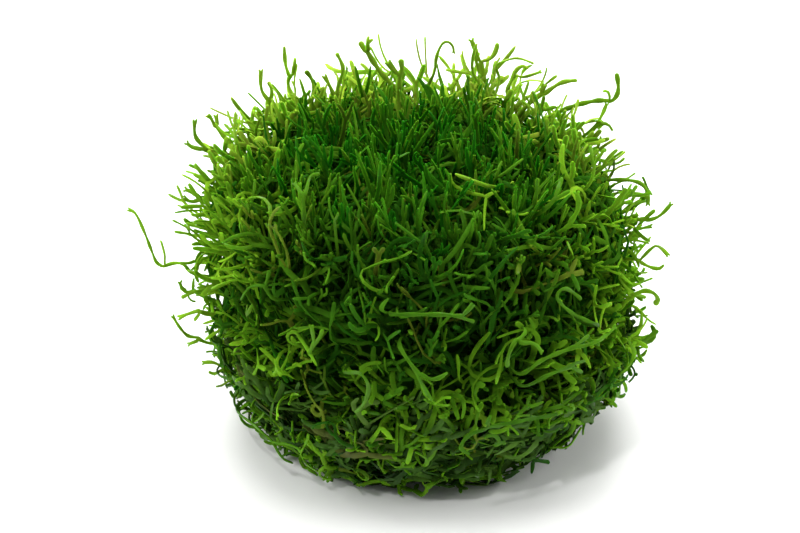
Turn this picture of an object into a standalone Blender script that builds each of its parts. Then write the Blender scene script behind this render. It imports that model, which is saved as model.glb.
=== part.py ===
"""A clump of crystalwort (Riccia fluitans), the water plant, as lifted wet from its cup.

Hundreds of small forked plants, each one flat green thallus, hold each other by tangling. Their older
growth is one dense mat with the round, flat-bottomed shape of the cup, and it carries the short growth
that covers it as forked spines. The plants that stand clear of the rest are modelled one by one: each is
a separate thallus whose foot sits in a socket of its own in the mat.

Metres, +Z up. The origin is the middle of the flat spot that the clump rests on. -Y is the front.
"""

import math
import random
from collections import namedtuple

import bmesh
import bpy
import numpy as np
from mathutils import Matrix, Vector, noise

MM = 0.001

# The mat: it widens from its resting spot to its belly, and is domed above that
BASE_RADIUS = 24.0 * MM
BELLY_RADIUS = 30.4 * MM
BELLY_HEIGHT = 21.0 * MM
CROWN_HEIGHT = 44.6 * MM
DOME_FULLNESS = 2.5
SKIRT_RINGS = 5
DOME_RINGS = 8
SIDES = 34
HEART = Vector((0.0, 0.0, 20.0 * MM))
LUMP_HEIGHT = 1.5 * MM
LUMP_SPACING = 8.5 * MM

# The thalli: flat straps that fork in two again and again, with blunt tips
THICKNESS = 0.55 * MM
LENS = 4
WEDGE = 3
TIP_TAPER = 0.62
FORK_CROTCH = 0.35
FORK_ROOM = 0.8
ARM_SHARE = 0.92
FOOT_DEPTH = 3.2 * MM
LOWEST_STRAP = 0.8 * MM
SOCKET_GAP = 0.55 * MM

# The short growth that covers the mat, as forked spines
SPINE_TRIES = 240
SPINE_WIDTH = 1.15 * MM
SPINE_ROOT = 1.6 * MM
LOWEST_FOOT = 3.0 * MM
CLEARANCE = 1.7 * MM
SPINE_FORK = (24.0, 40.0)
GOLDEN_ANGLE = math.pi * (3.0 - math.sqrt(5.0))
SKIRT_TOP = 11.0 * MM
SEED = 7204

# Where the eye stood when the stray thalli were measured: every stray is given as it is seen from there
SIGHT_FALL = math.radians(29.0)
SIGHT_DISTANCE = 333.0 * MM
EYE_LEFT = 3.15 * MM
EYE_UP = 20.5 * MM
SIGHT_STEP = 0.25 * MM
NEAREST = -46.0 * MM
FARTHEST = 30.0 * MM
TO_VIEWER = Vector((0.0, -math.cos(SIGHT_FALL), math.sin(SIGHT_FALL)))

# How wet leaf looks: linear base colour and roughness
FINISHES = {
    "mat": ((0.030, 0.100, 0.008), 0.42),
    "crown": ((0.075, 0.240, 0.012), 0.34),
    "left": ((0.150, 0.360, 0.014), 0.36),
    "right": ((0.130, 0.320, 0.020), 0.36),
    "front": ((0.160, 0.360, 0.020), 0.32),
    "back": ((0.100, 0.280, 0.014), 0.36),
}

Strap = namedtuple("Strap", "points forks")
Section = namedtuple("Section", "width thickness corners")
Plant = namedtuple("Plant", "strap facing section")


def arm(*points, forks=()):
    """A stretch of thallus through these points, and the two arms that it forks into, if it does."""
    return Strap(points, forks)


# The stray thalli, each as (how its depth is told, turn about Z in degrees, width in mm, arms).
# A point is (across, up, depth) in mm: across to the right and up from the resting spot, as seen.
# Depth is told in one of two ways. On a rim stray it is how far the point lies behind the strap's own
# foot, and on a face stray it is how far the point is lifted off the mat, towards the eye.
# The strays with a turn stand on the sides and the back, and are told as seen from there.
STRAYS = {
    "left_1": ("rim", 0, 0.7, arm(
        (-33.6, 19.2, 0), (-35.6, 20.8, -1), (-37.0, 21.0, -1), (-38.3, 20.6, -2), forks=(
            arm((-39.6, 21.1, -2), (-40.5, 23.2, -3), (-41.6, 26.0, -4), (-42.7, 28.3, -4), (-43.7, 29.0, -4)),
            arm((-38.4, 22.2, -2), (-38.9, 24.1, -2))))),
    "left_2": ("rim", 0, 0.9, arm((-31.5, 17.0, 0), (-33.4, 16.8, -1), (-35.0, 16.5, -1), forks=(
        arm((-35.9, 17.3, -1), (-36.1, 18.0, -1)), arm((-35.9, 15.8, -1))))),
    "left_3": ("rim", 0, 0.9, arm((-30.8, 13.3, 0), (-33.0, 13.7, -1), forks=(
        arm((-34.6, 13.5, -1), (-36.1, 12.9, -1)), arm((-34.0, 12.4, -1))))),
    "left_4": ("rim", 0, 0.8, arm((-30.9, 9.0, 0), (-33.2, 9.6, -1), forks=(
        arm((-34.9, 10.1, -1), (-36.1, 11.3, -2), (-37.1, 12.9, -2)), arm((-34.7, 8.9, -1))))),
    "left_5": ("rim", 0, 0.8, arm((-28.4, 4.7, 0), (-29.7, 5.2, -1), forks=(
        arm((-31.1, 6.1, -1), (-32.5, 6.1, -1)), arm((-31.0, 4.4, -1), (-31.8, 4.8, -1))))),
    "left_6": ("rim", 0, 0.9, arm((-29.8, 36.5, 0), (-32.6, 38.2, -1), forks=(
        arm((-33.8, 40.0, -1), (-33.9, 42.2, -1)), arm((-34.3, 38.4, -1), (-35.0, 38.9, -1))))),
    "left_7": ("rim", 0, 0.9, arm((-31.3, 30.4, 0), (-33.2, 30.7, -1), forks=(
        arm((-34.3, 31.6, -1), (-35.2, 32.0, -1)), arm((-34.4, 30.2, -1), (-35.4, 30.7, -1))))),
    "crown_1": ("rim", 0, 0.8, arm((-27.6, 38.0, 0), (-29.2, 39.6, 0), (-30.6, 41.4, 0), forks=(
        arm((-31.4, 42.6, 0), (-31.9, 43.1, -1)), arm((-30.7, 43.0, 0))))),
    "crown_2": ("rim", 0, 0.8, arm((-22.0, 43.2, 0), (-22.7, 45.4, 0), forks=(
        arm((-23.9, 47.0, 0), (-24.0, 49.7, 0)), arm((-22.4, 46.9, 0), (-22.9, 48.2, 0))))),
    "crown_3": ("rim", 0, 0.8, arm((-19.4, 46.4, 0), (-19.6, 49.0, 0), forks=(
        arm((-20.3, 50.8, 0), (-20.5, 53.5, 0)), arm((-19.0, 50.4, -1), (-18.9, 51.8, -1))))),
    "crown_4": ("rim", 0, 0.8, arm((-16.2, 44.4, 0), (-16.0, 47.0, 0), (-16.4, 48.6, 0), (-17.3, 49.8, -1))),
    "crown_5": ("rim", 0, 0.8, arm((-12.4, 44.6, 0), (-12.8, 46.0, 0), forks=(
        arm((-13.6, 47.4, 0), (-14.4, 48.9, 0)),
        arm((-12.4, 47.6, 0), (-11.7, 49.9, 0), (-12.0, 51.2, 0), (-12.7, 52.5, 0))))),
    "crown_6": ("rim", 0, 1.0, arm((-2.2, 45.2, 0), (-4.6, 48.0, 0), (-6.4, 50.1, 0), (-8.0, 52.6, 0), forks=(
        arm((-8.8, 53.6, 0), (-9.2, 54.2, 0)), arm((-8.0, 53.8, -1), (-7.8, 54.4, -1))))),
    "crown_7": ("rim", 0, 1.0, arm((-3.4, 44.9, -2), (-3.3, 47.2, -2), (-3.2, 49.2, -2), forks=(
        arm((-4.2, 50.1, -2), (-4.8, 50.9, -2)), arm((-2.9, 50.6, -2), (-3.1, 51.6, -2))))),
    "crown_8": ("rim", 0, 0.6, arm((0.9, 46.9, 0), (2.0, 49.6, 0), (2.3, 51.8, 0), (3.0, 53.6, 0),
                                   (3.9, 54.2, -1), (4.7, 53.6, -1), (4.9, 52.7, -1))),
    "crown_9": ("rim", 0, 0.9, arm((9.9, 46.4, 0), (9.2, 49.6, 0), (9.0, 51.2, 0), forks=(
        arm((8.3, 52.6, 0), (7.6, 54.3, 0)), arm((10.4, 51.7, 0), (11.1, 52.6, 0), (11.5, 54.0, 0))))),
    "crown_10": ("rim", 0, 0.5, arm((11.6, 47.8, 0), (11.3, 50.4, 0), (12.6, 51.3, -1), (14.5, 51.7, -1),
                                    (16.9, 50.9, -2))),
    "crown_11": ("rim", 0, 0.8, arm((13.0, 44.4, 0), (13.0, 47.0, 0), (14.0, 49.2, 0), forks=(
        arm((15.0, 50.5, 0), (16.1, 50.1, 0)), arm((15.4, 48.9, -1), (17.7, 49.6, -1))))),
    "crown_12": ("rim", 0, 0.9, arm((14.6, 43.0, 0), (16.4, 45.1, 0), (18.0, 46.3, 0), forks=(
        arm((18.4, 47.5, 0)), arm((19.6, 47.2, 0), (21.2, 48.1, 0), (23.4, 48.4, -1))))),
    "right_1": ("rim", 0, 1.0, arm(
        (19.6, 42.8, 0), (22.5, 44.4, -1), (26.0, 45.3, -2), (28.3, 45.3, -3), forks=(
            arm((28.0, 46.7, -3), (27.2, 46.7, -3)), arm((29.5, 46.6, -3), (29.3, 49.5, -3))))),
    "right_2": ("rim", 0, 0.8, arm((23.4, 39.3, 0), (25.4, 40.8, 0), (26.7, 42.0, 0), forks=(
        arm((27.3, 43.6, 1), (27.8, 44.8, 2)), arm((28.0, 41.8, 0), (28.7, 40.8, 0))))),
    "right_3": ("rim", 0, 0.8, arm((25.6, 36.4, 0), (28.0, 36.0, 0), forks=(
        arm((29.2, 37.1, 0), (30.3, 37.8, 0)), arm((29.5, 36.0, -1), (30.5, 36.8, -1))))),
    "right_4": ("rim", 0, 0.8, arm((27.2, 33.2, 0), (30.0, 33.5, 0), (32.6, 33.1, 0), (33.8, 31.9, -1),
                                   (34.0, 29.9, -1))),
    "right_5": ("rim", 0, 1.1, arm((26.6, 27.6, 0), (28.8, 29.4, -1), (30.8, 32.2, -2))),
    "right_6": ("rim", 0, 0.8, arm((29.9, 27.2, 0), (33.6, 27.6, 0), forks=(
        arm((35.1, 29.0, 0)), arm((35.6, 28.0, 0), (37.4, 29.8, 0))))),
    "right_7": ("rim", 0, 0.8, arm((31.0, 21.6, 0), (32.8, 21.4, 0), forks=(
        arm((34.2, 22.9, 0), (35.4, 23.6, 0), (36.9, 22.3, -1)),
        arm((34.4, 20.4, 0), (35.7, 20.2, 0), (36.4, 20.8, 0))))),
    "right_8": ("rim", 0, 1.0, arm((29.4, 14.2, 0), (31.2, 15.8, -1), (33.2, 16.8, -2), (34.7, 16.6, -3),
                                   (35.5, 15.6, -3), (34.9, 14.8, -3))),
    "right_9": ("rim", 0, 0.6, arm((30.4, 6.6, 0), (32.2, 6.7, 0), (33.3, 7.3, 0), (33.8, 8.0, -1))),
    "front_1": ("face", 0, 1.0, arm((-17.1, 23.6, 2), (-17.5, 28.0, 5), (-17.6, 31.2, 7), forks=(
        arm((-16.6, 33.9, 7), (-15.2, 34.3, 7)), arm((-18.9, 32.9, 7))))),
    "front_2": ("face", 0, 1.0, arm((-4.6, 13.4, 3), (-1.4, 13.3, 4), (3.0, 13.3, 5), (6.2, 13.0, 5), forks=(
        arm((7.6, 14.6, 5)), arm((8.0, 12.2, 5))))),
    "front_3": ("face", 0, 0.9, arm((-11.6, 4.8, 2), (-9.2, 4.5, 4), (-7.9, 2.6, 4), (-8.4, 0.2, 4),
                                    (-9.8, -1.4, 3))),
    "front_4": ("face", 0, 1.1, arm((14.8, 4.4, 2), (18.4, 6.6, 3), (23.4, 8.6, 4), forks=(
        arm((25.2, 10.2, 4)), arm((26.6, 9.4, 5), (29.0, 11.4, 5))))),
    "front_5": ("face", 0, 1.0, arm((15.2, 2.6, 2), (19.0, 4.2, 3), (22.6, 5.6, 3), forks=(
        arm((24.6, 6.4, 3)), arm((24.2, 4.6, 3))))),
    "front_6": ("face", 0, 0.9, arm((26.6, 11.6, 3), (22.8, 13.4, 4), (20.4, 15.8, 5), (21.6, 17.2, 5),
                                    (24.0, 15.6, 4))),
    "front_7": ("face", 0, 1.2, arm((21.6, -1.0, 2), (15.6, -2.5, 4), (9.9, -3.6, 5), forks=(
        arm((10.4, -1.8, 5)), arm((7.2, -4.8, 5), (6.0, -6.6, 5), (7.2, -7.6, 4))))),
    "front_8": ("face", 0, 1.1, arm((-27.6, -0.6, 2), (-24.6, -3.6, 3), (-22.2, -5.8, 3), forks=(
        arm((-20.9, -8.0, 3), (-19.6, -8.8, 2)), arm((-19.8, -6.2, 3), (-18.0, -7.0, 3))))),
    "front_9": ("face", 0, 1.0, arm((-3.2, 8.6, 3), (-0.4, 4.4, 4), forks=(
        arm((0.4, 2.4, 4), (1.6, 0.4, 4)), arm((1.8, 3.6, 4), (4.0, 4.6, 5))))),
    "front_10": ("face", 0, 1.1, arm((-16.6, 7.2, 2), (-15.9, 9.2, 3), forks=(
        arm((-16.4, 11.4, 4)), arm((-14.7, 11.0, 4))))),
    "front_11": ("face", 0, 1.1, arm((15.6, 11.0, 2), (14.4, 9.4, 4), forks=(
        arm((13.2, 7.4, 4), (12.9, 5.4, 4)), arm((16.8, 9.0, 4), (18.0, 7.8, 4))))),
    "front_12": ("face", 0, 1.0, arm((-21.8, 15.6, 2), (-23.4, 17.6, 4), forks=(
        arm((-22.7, 19.9, 4)), arm((-25.6, 17.4, 4), (-27.0, 15.4, 4))))),
    "back_1": ("rim", 118, 0.9, arm((22.6, 36.0, 0), (24.6, 38.8, 0), forks=(
        arm((26.6, 40.0, 0), (28.4, 39.6, -1)), arm((24.8, 41.4, 0))))),
    "back_2": ("rim", 150, 1.0, arm((-24.4, 36.4, 0), (-27.2, 38.6, 0), forks=(
        arm((-29.6, 39.0, 0)), arm((-28.4, 41.2, 0), (-28.2, 43.2, 0))))),
    "back_3": ("rim", 180, 0.9, arm((-31.0, 18.6, 0), (-33.2, 20.4, 0), forks=(
        arm((-34.8, 22.6, 0)), arm((-35.4, 19.8, -1))))),
    "back_4": ("face", 180, 1.1, arm((-8.6, 12.0, 2), (-6.2, 8.6, 4), (-3.4, 6.6, 5), forks=(
        arm((-1.4, 7.6, 5)), arm((-1.8, 4.8, 4), (-0.4, 3.0, 4))))),
    "back_5": ("face", 205, 1.2, arm((6.8, 20.4, 2), (10.4, 22.4, 4), (14.0, 21.4, 5), forks=(
        arm((16.2, 22.6, 5)), arm((15.4, 18.8, 4))))),
    "back_6": ("rim", 205, 0.9, arm((-17.6, 43.6, 0), (-18.6, 46.6, 0), forks=(
        arm((-20.2, 48.4, 0)), arm((-17.9, 49.4, 0))))),
    "back_7": ("face", 160, 1.2, arm((-20.0, 2.4, 2), (-17.2, -0.6, 3), (-13.4, -2.4, 4), forks=(
        arm((-11.2, -1.0, 4)), arm((-11.4, -4.4, 4), (-9.2, -5.4, 3))))),
    "back_8": ("rim", 235, 0.9, arm((-29.4, 30.2, 0), (-31.6, 32.2, 0), forks=(
        arm((-33.6, 33.2, 0), (-34.4, 35.0, 0)), arm((-33.6, 31.0, 0))))),
    "back_9": ("face", 120, 1.1, arm((-6.4, 6.8, 2), (-9.8, 9.2, 4), (-12.4, 12.4, 5), forks=(
        arm((-14.8, 13.4, 5)), arm((-12.2, 15.2, 5))))),
    "back_10": ("face", 240, 1.1, arm((8.2, 4.2, 2), (5.2, 7.2, 4), (4.6, 10.6, 5), forks=(
        arm((2.6, 12.4, 5)), arm((6.0, 13.0, 5))))),
    "back_11": ("rim", 90, 0.8, arm((29.8, 12.0, 0), (32.2, 12.6, -1), forks=(
        arm((34.2, 14.2, -1)), arm((34.0, 11.2, -1))))),
    "back_12": ("rim", 270, 0.8, arm((-29.6, 14.6, 0), (-32.2, 15.8, -1), forks=(
        arm((-34.4, 17.6, -1)), arm((-34.6, 14.8, -1))))),
}


def clear_scene():
    for obj in list(bpy.data.objects):
        bpy.data.objects.remove(obj)


def finish_material(name, group):
    """A wet leaf finish, in the colour of that part of the clump."""
    colour, roughness = FINISHES[group]
    material = bpy.data.materials.new(f"{name}_finish")
    material.use_nodes = True
    shader = material.node_tree.nodes["Principled BSDF"]
    shader.inputs["Base Color"].default_value = (*colour, 1.0)
    shader.inputs["Roughness"].default_value = roughness
    shader.inputs["Metallic"].default_value = 0.0
    return material


def new_object(name, shape):
    mesh = bpy.data.meshes.new(name)
    shape.to_mesh(mesh)
    shape.free()
    obj = bpy.data.objects.new(name, mesh)
    bpy.context.scene.collection.objects.link(obj)
    return obj


def new_piece(name, shape, group):
    """A piece of the clump, with a finish of its own."""
    obj = new_object(name, shape)
    obj.data.materials.append(finish_material(name, group))
    return obj


def new_helper(name, shape):
    """A shape that a Boolean cuts with or joins on: it is no piece of its own."""
    obj = new_object(name, shape)
    obj.hide_render = True
    obj.display_type = "WIRE"
    return obj


def mat_outline():
    """(radius, height) of the mat's rings, from the resting spot to the crown.

    The skirt is a quarter of a sine wave and the dome a quarter of a superellipse.
    """
    outline = []
    for step in range(SKIRT_RINGS):
        share = step / SKIRT_RINGS
        swell = math.sin(math.pi / 2 * share)
        outline.append((BASE_RADIUS + (BELLY_RADIUS - BASE_RADIUS) * swell, BELLY_HEIGHT * share))
    power = 2 / DOME_FULLNESS
    for step in range(DOME_RINGS + 1):
        angle = math.pi / 2 * step / DOME_RINGS
        rise = (CROWN_HEIGHT - BELLY_HEIGHT) * math.sin(angle) ** power
        outline.append((BELLY_RADIUS * max(0.0, math.cos(angle)) ** power, BELLY_HEIGHT + rise))
    return outline


OUTLINE = mat_outline()


def mat_gap(point):
    """Distance from a point to the mat before its lumps, negative inside it."""
    flat = Vector((math.hypot(point.x, point.y), point.z))
    nearest = math.inf
    gap = 0.0
    for first, second in zip(OUTLINE, OUTLINE[1:]):
        start = Vector(first)
        along = Vector(second) - start
        share = min(1.0, max(0.0, (flat - start).dot(along) / along.length_squared))
        offset = flat - start - along * share
        if offset.length < nearest:
            nearest = offset.length
            outwards = Vector((along.y, -along.x))
            gap = math.copysign(nearest, offset.dot(outwards))
    return gap


def sighted(across, up, deep):
    """The point that is seen this far across and up from the resting spot, and lies this far back in Y.

    A point at depth d behind the resting spot looks smaller by the ratio k = 1 + d / SIGHT_DISTANCE, and
    its height on the sight plane is z cos(fall) + y sin(fall). Solving both for z gives the line below.
    """
    fall_sine = math.sin(SIGHT_FALL)
    fall_cosine = math.cos(SIGHT_FALL)
    above_eye = up - EYE_UP
    flat_ratio = 1.0 + deep * fall_cosine / SIGHT_DISTANCE
    z = (above_eye * flat_ratio + EYE_UP - deep * fall_sine) / (
        fall_cosine + above_eye * fall_sine / SIGHT_DISTANCE
    )
    ratio = flat_ratio - z * fall_sine / SIGHT_DISTANCE
    return Vector(((across + EYE_LEFT) * ratio - EYE_LEFT, deep, z))


def depth_at(across, up, lift):
    """Y of the place where a sight line first comes this near to the mat, or passes nearest to it."""
    nearest_depth = NEAREST
    nearest_gap = math.inf
    for step in range(int((FARTHEST - NEAREST) / SIGHT_STEP)):
        deep = NEAREST + step * SIGHT_STEP
        gap = mat_gap(sighted(across, up, deep))
        if gap <= lift:
            return deep
        if gap < nearest_gap:
            nearest_gap = gap
            nearest_depth = deep
    return nearest_depth


def above_floor(point):
    """The point, no lower than leaves a strap clear of what the clump rests on."""
    return Vector((point.x, point.y, max(point.z, LOWEST_STRAP)))


def in_space(seen, manner, foot_deep, turn):
    """The strap with its seen points made points in space."""
    points = []
    for across, up, depth in seen.points:
        if manner == "face":
            deep = depth_at(across * MM, up * MM, depth * MM)
        else:
            deep = foot_deep + depth * MM
        points.append(turn @ above_floor(sighted(across * MM, up * MM, deep)))
    forks = tuple(in_space(fork, manner, foot_deep, turn) for fork in seen.forks)
    return Strap(points, forks)


def rooted(strap):
    """The strap with its foot carried on into the mat, towards the heart of the clump."""
    root = strap.points[0].copy()
    inwards = (HEART - root).normalized()
    while mat_gap(root) > -FOOT_DEPTH:
        root = root + inwards * SIGHT_STEP
    return Strap([root, *strap.points], strap.forks)


def stray_plant(manner, degrees, width, seen):
    """A stray thallus in space, its flat side kept towards where it is seen from."""
    turn = Matrix.Rotation(math.radians(degrees), 3, "Z")
    across, up, _ = seen.points[0]
    foot_deep = depth_at(across * MM, up * MM, 0.0)
    strap = rooted(in_space(seen, manner, foot_deep, turn))
    return Plant(strap, turn @ TO_VIEWER, Section(width * MM, THICKNESS, LENS))


def socket_shape(plant):
    """The buried foot of a stray, a gap larger all round: the mat is cut with it."""
    root, foot, beyond = plant.strap.points[:3]
    root = root + (root - foot).normalized() * SOCKET_GAP
    clear = beyond.lerp(foot, -0.5)
    width, thickness, corners = plant.section
    section = Section(width + 2 * SOCKET_GAP, thickness + 2 * SOCKET_GAP, corners)
    return Plant(Strap([root, foot, beyond, clear], ()), plant.facing, section)


def squared(side, along):
    """The sideways direction, made square to the way the strap runs."""
    return (side - along * side.dot(along)).normalized()


def ring_at(shape, centre, along, side, section):
    """Corners of a strap's section: left edge, upper ridge, right edge and, on a lens, lower ridge."""
    edge = side * (section.width / 2)
    ridge = side.cross(along) * (section.thickness / 2)
    offsets = (-edge, ridge, edge, -ridge)[: section.corners]
    return [shape.verts.new(centre + offset) for offset in offsets]


def bridge(shape, ring, next_ring):
    for corner in range(len(ring)):
        following = (corner + 1) % len(ring)
        shape.faces.new((ring[corner], ring[following], next_ring[following], next_ring[corner]))


def directions(points):
    """The way the strap runs at each point but the first."""
    found = []
    for index in range(1, len(points)):
        along = (points[index] - points[index - 1]).normalized()
        if index + 1 < len(points):
            along = along + (points[index + 1] - points[index]).normalized()
        found.append(along.normalized())
    return found


def grow_strap(shape, ring, start, strap, side, section, room):
    """Carries a strap from its ring through its points, then forks it or closes its blunt tip.

    The room is how wide the first ring past a fork can be without meeting the other arm.
    """
    ways = directions([start, *strap.points])
    for index, (point, along) in enumerate(zip(strap.points, ways)):
        is_tip = index == len(strap.points) - 1 and not strap.forks
        taper = TIP_TAPER if is_tip else 1.0
        width = section.width * taper
        if index == 0:
            width = min(width, room)
        side = squared(side, along)
        narrowed = section._replace(width=width, thickness=section.thickness * taper)
        next_ring = ring_at(shape, point, along, side, narrowed)
        bridge(shape, ring, next_ring)
        ring = next_ring
    if not strap.forks:
        shape.faces.new(ring)
        return
    fork_at = strap.points[-1]
    left, right = sorted(strap.forks, key=lambda fork: (fork.points[0] - fork_at).dot(side))
    room = FORK_ROOM * (left.points[0] - right.points[0]).length
    crotch = shape.verts.new(fork_at + ways[-1] * (section.width * FORK_CROTCH))
    if section.corners == WEDGE:
        shape.faces.new((ring[2], ring[0], crotch))
    slimmer = section._replace(width=section.width * ARM_SHARE)
    grow_strap(shape, [*ring[:2], crotch, *ring[3:]], fork_at, left, side, slimmer, room)
    grow_strap(shape, [crotch, *ring[1:]], fork_at, right, side, slimmer, room)


def grow_plant(shape, plant):
    """One whole forked thallus as one closed body."""
    root, *later = plant.strap.points
    before, after = plant.strap.points[:3][-2:]
    ahead = (after - before).normalized()
    along = (later[0] - root).normalized()
    side = squared(ahead.cross(plant.facing), along)
    ring = ring_at(shape, root, along, side, plant.section)
    shape.faces.new(ring[::-1])
    grow_strap(shape, ring, root, Strap(later, plant.strap.forks), side, plant.section, plant.section.width)


def plants_shape(plants):
    shape = bmesh.new()
    for plant in plants:
        grow_plant(shape, plant)
    return shape


def mat_shape():
    """The mat: rings of the outline, lumped by smooth noise, closed flat below and round on top."""
    shape = bmesh.new()
    rings = []
    for radius, height in OUTLINE[:-1]:
        ring = []
        for step in range(SIDES):
            turn = 2 * math.pi * step / SIDES
            spot = Vector((radius * math.cos(turn), radius * math.sin(turn), height))
            outwards = (spot - HEART).normalized()
            spot = spot + outwards * (LUMP_HEIGHT * noise.noise(spot / LUMP_SPACING))
            if height == 0.0:
                spot.z = 0.0
            ring.append(shape.verts.new(spot))
        rings.append(ring)
    bottom = shape.verts.new((0.0, 0.0, 0.0))
    crown = shape.verts.new((0.0, 0.0, CROWN_HEIGHT))
    for step in range(SIDES):
        following = (step + 1) % SIDES
        for low, high in zip(rings, rings[1:]):
            shape.faces.new((low[step], low[following], high[following], high[step]))
        shape.faces.new((rings[0][following], rings[0][step], bottom))
        shape.faces.new((rings[-1][step], rings[-1][following], crown))
    return shape


def spread_feet(count):
    """Feet spread evenly over the mat: (foot, outward direction) of each.

    The golden angle turns them about Z, and each stands for the same share of the outline's area.
    """
    areas = [0.0]
    for (r0, z0), (r1, z1) in zip(OUTLINE, OUTLINE[1:]):
        areas.append(areas[-1] + (r0 + r1) * math.hypot(r1 - r0, z1 - z0))
    for number in range(count):
        wanted = areas[-1] * (number + 0.5) / count
        band = next(index for index, area in enumerate(areas[1:]) if area >= wanted)
        share = (wanted - areas[band]) / (areas[band + 1] - areas[band])
        start = Vector(OUTLINE[band])
        along = Vector(OUTLINE[band + 1]) - start
        radius, height = start + along * share
        turn = number * GOLDEN_ANGLE
        round_z = Vector((math.cos(turn), math.sin(turn), 0.0))
        outward = (round_z * along.y + Vector((0.0, 0.0, -along.x))).normalized()
        yield round_z * radius + Vector((0.0, 0.0, height)), outward


def spine_plant(foot, outward, chance):
    """One short forked spine of the growth that covers the mat.

    Low on the skirt it lies along the wall, on the flank it leans out, and on the crown it stands up.
    """
    rise = foot.z / CROWN_HEIGHT
    wander = Vector([chance.uniform(-1, 1) for _ in range(3)])
    if foot.z < SKIRT_TOP:
        around = Vector((-foot.y, foot.x, 0.0)).normalized() * chance.choice((-1, 1))
        along = around * 0.8 + outward + wander * 0.3
        facing = (outward - around + wander * 0.5).normalized()
        stem = 3.0 * MM
        reach = 2.6 * MM
    else:
        along = outward * (1.15 - 0.55 * rise) + Vector((0.0, 0.0, 0.25 + 0.75 * rise)) + wander * 0.36
        facing = wander.normalized()
        stem = (2.6 + 1.2 * rise) * MM
        reach = (2.6 + 0.7 * rise) * MM
    along.normalize()
    side = along.cross(facing).normalized()
    fork_at = foot + along * (stem * chance.uniform(0.8, 1.25))
    arms = []
    for sign in (-1, 1):
        spread = math.radians(chance.uniform(*SPINE_FORK))
        way = along * math.cos(spread) + side * (sign * math.sin(spread))
        tip = fork_at + way * (reach * chance.uniform(0.75, 1.2))
        arms.append(arm(above_floor(tip)))
    root = above_floor(foot - outward * SPINE_ROOT)
    strap = Strap([root, above_floor(fork_at)], tuple(arms))
    return Plant(strap, facing, Section(SPINE_WIDTH, THICKNESS, WEDGE))


def spots_along(strap, before=()):
    """Points close together along a thallus, for telling how near another one is."""
    points = [*before, *strap.points]
    spots = [first.lerp(second, share / 4) for first, second in zip(points, points[1:]) for share in range(5)]
    for fork in strap.forks:
        spots += spots_along(fork, points[-1:])
    return spots


def spines_clear_of(strays):
    """The spines that keep their distance from the stray thalli and from each other."""
    chance = random.Random(SEED)
    taken = np.array([spot for stray in strays for spot in spots_along(stray.strap)])
    spines = []
    for foot, outward in spread_feet(SPINE_TRIES):
        spine = spine_plant(foot, outward, chance)
        spots = np.array(spots_along(spine.strap))
        nearest = np.linalg.norm(spots[:, None] - taken, axis=2).min()
        if nearest > CLEARANCE and foot.z > LOWEST_FOOT:
            spines.append(spine)
            taken = np.concatenate([taken, spots])
    return spines


def join_with(obj, other, operation):
    """A Boolean with the exact solver, which also sorts out where the other's own shells cross."""
    modifier = obj.modifiers.new(other.name, "BOOLEAN")
    modifier.operation = operation
    modifier.object = other
    modifier.solver = "EXACT"
    modifier.use_self = True


def main():
    clear_scene()
    strays = {name: stray_plant(*row) for name, row in STRAYS.items()}

    mat = new_piece("thallus_mat", mat_shape(), "mat")
    spines = spines_clear_of(strays.values())
    join_with(mat, new_helper("spines", plants_shape(spines)), "UNION")
    sockets = [socket_shape(plant) for plant in strays.values()]
    join_with(mat, new_helper("sockets", plants_shape(sockets)), "DIFFERENCE")

    for name, plant in strays.items():
        group = name.split("_")[0]
        new_piece(f"thallus_{name}", plants_shape([plant]), group)


main()
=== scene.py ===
# %% [markdown]
# A clump of crystalwort, lifted wet out of the cup it grew in
#
# Crystalwort is a water plant with no stem, no root and no leaves. Each plant is one flat green strap, the
# thallus, about a millimetre wide, that forks in two every few millimetres and ends in blunt tips. Hundreds
# of them tangle into a cushion. This lesson dresses a plain solid model of such a cushion with the real
# growth: thousands of forked straps, worked out as whole arrays with numpy.
#
# The frame comes first. It holds the solids at their real size, and nothing here moves or resizes them.

# %% The frame, and the box that it fills
import math
from collections import namedtuple

import bpy
import numpy as np
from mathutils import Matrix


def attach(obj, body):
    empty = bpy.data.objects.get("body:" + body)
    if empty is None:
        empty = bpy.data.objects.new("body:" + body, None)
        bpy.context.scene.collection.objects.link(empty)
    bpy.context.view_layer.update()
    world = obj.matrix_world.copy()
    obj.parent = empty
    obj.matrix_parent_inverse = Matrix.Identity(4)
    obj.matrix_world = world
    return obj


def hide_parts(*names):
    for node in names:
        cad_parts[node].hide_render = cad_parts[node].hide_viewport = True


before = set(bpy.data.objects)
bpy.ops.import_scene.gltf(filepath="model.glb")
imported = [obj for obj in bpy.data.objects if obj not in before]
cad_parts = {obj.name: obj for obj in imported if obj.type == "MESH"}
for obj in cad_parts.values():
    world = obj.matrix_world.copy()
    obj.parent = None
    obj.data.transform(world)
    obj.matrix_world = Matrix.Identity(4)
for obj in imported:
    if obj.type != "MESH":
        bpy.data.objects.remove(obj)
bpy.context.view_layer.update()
MM = 0.001

# %% [markdown]
# The camera
#
# The photograph was taken from a little above, so that the crown is seen as well as the front. A camera can
# be placed by eye, or by numbers: here it is turned down by an angle judged from the photograph and set off
# to one side, so that the resting spot lands where it does there. The stray thalli are told from this eye.

# %% The camera
SIGHT_FALL = math.radians(29.0)
SIGHT_DISTANCE = 333.0
EYE_LEFT = 3.15
EYE_UP = 20.5
FALL_SINE = math.sin(SIGHT_FALL)
FALL_COSINE = math.cos(SIGHT_FALL)


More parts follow.
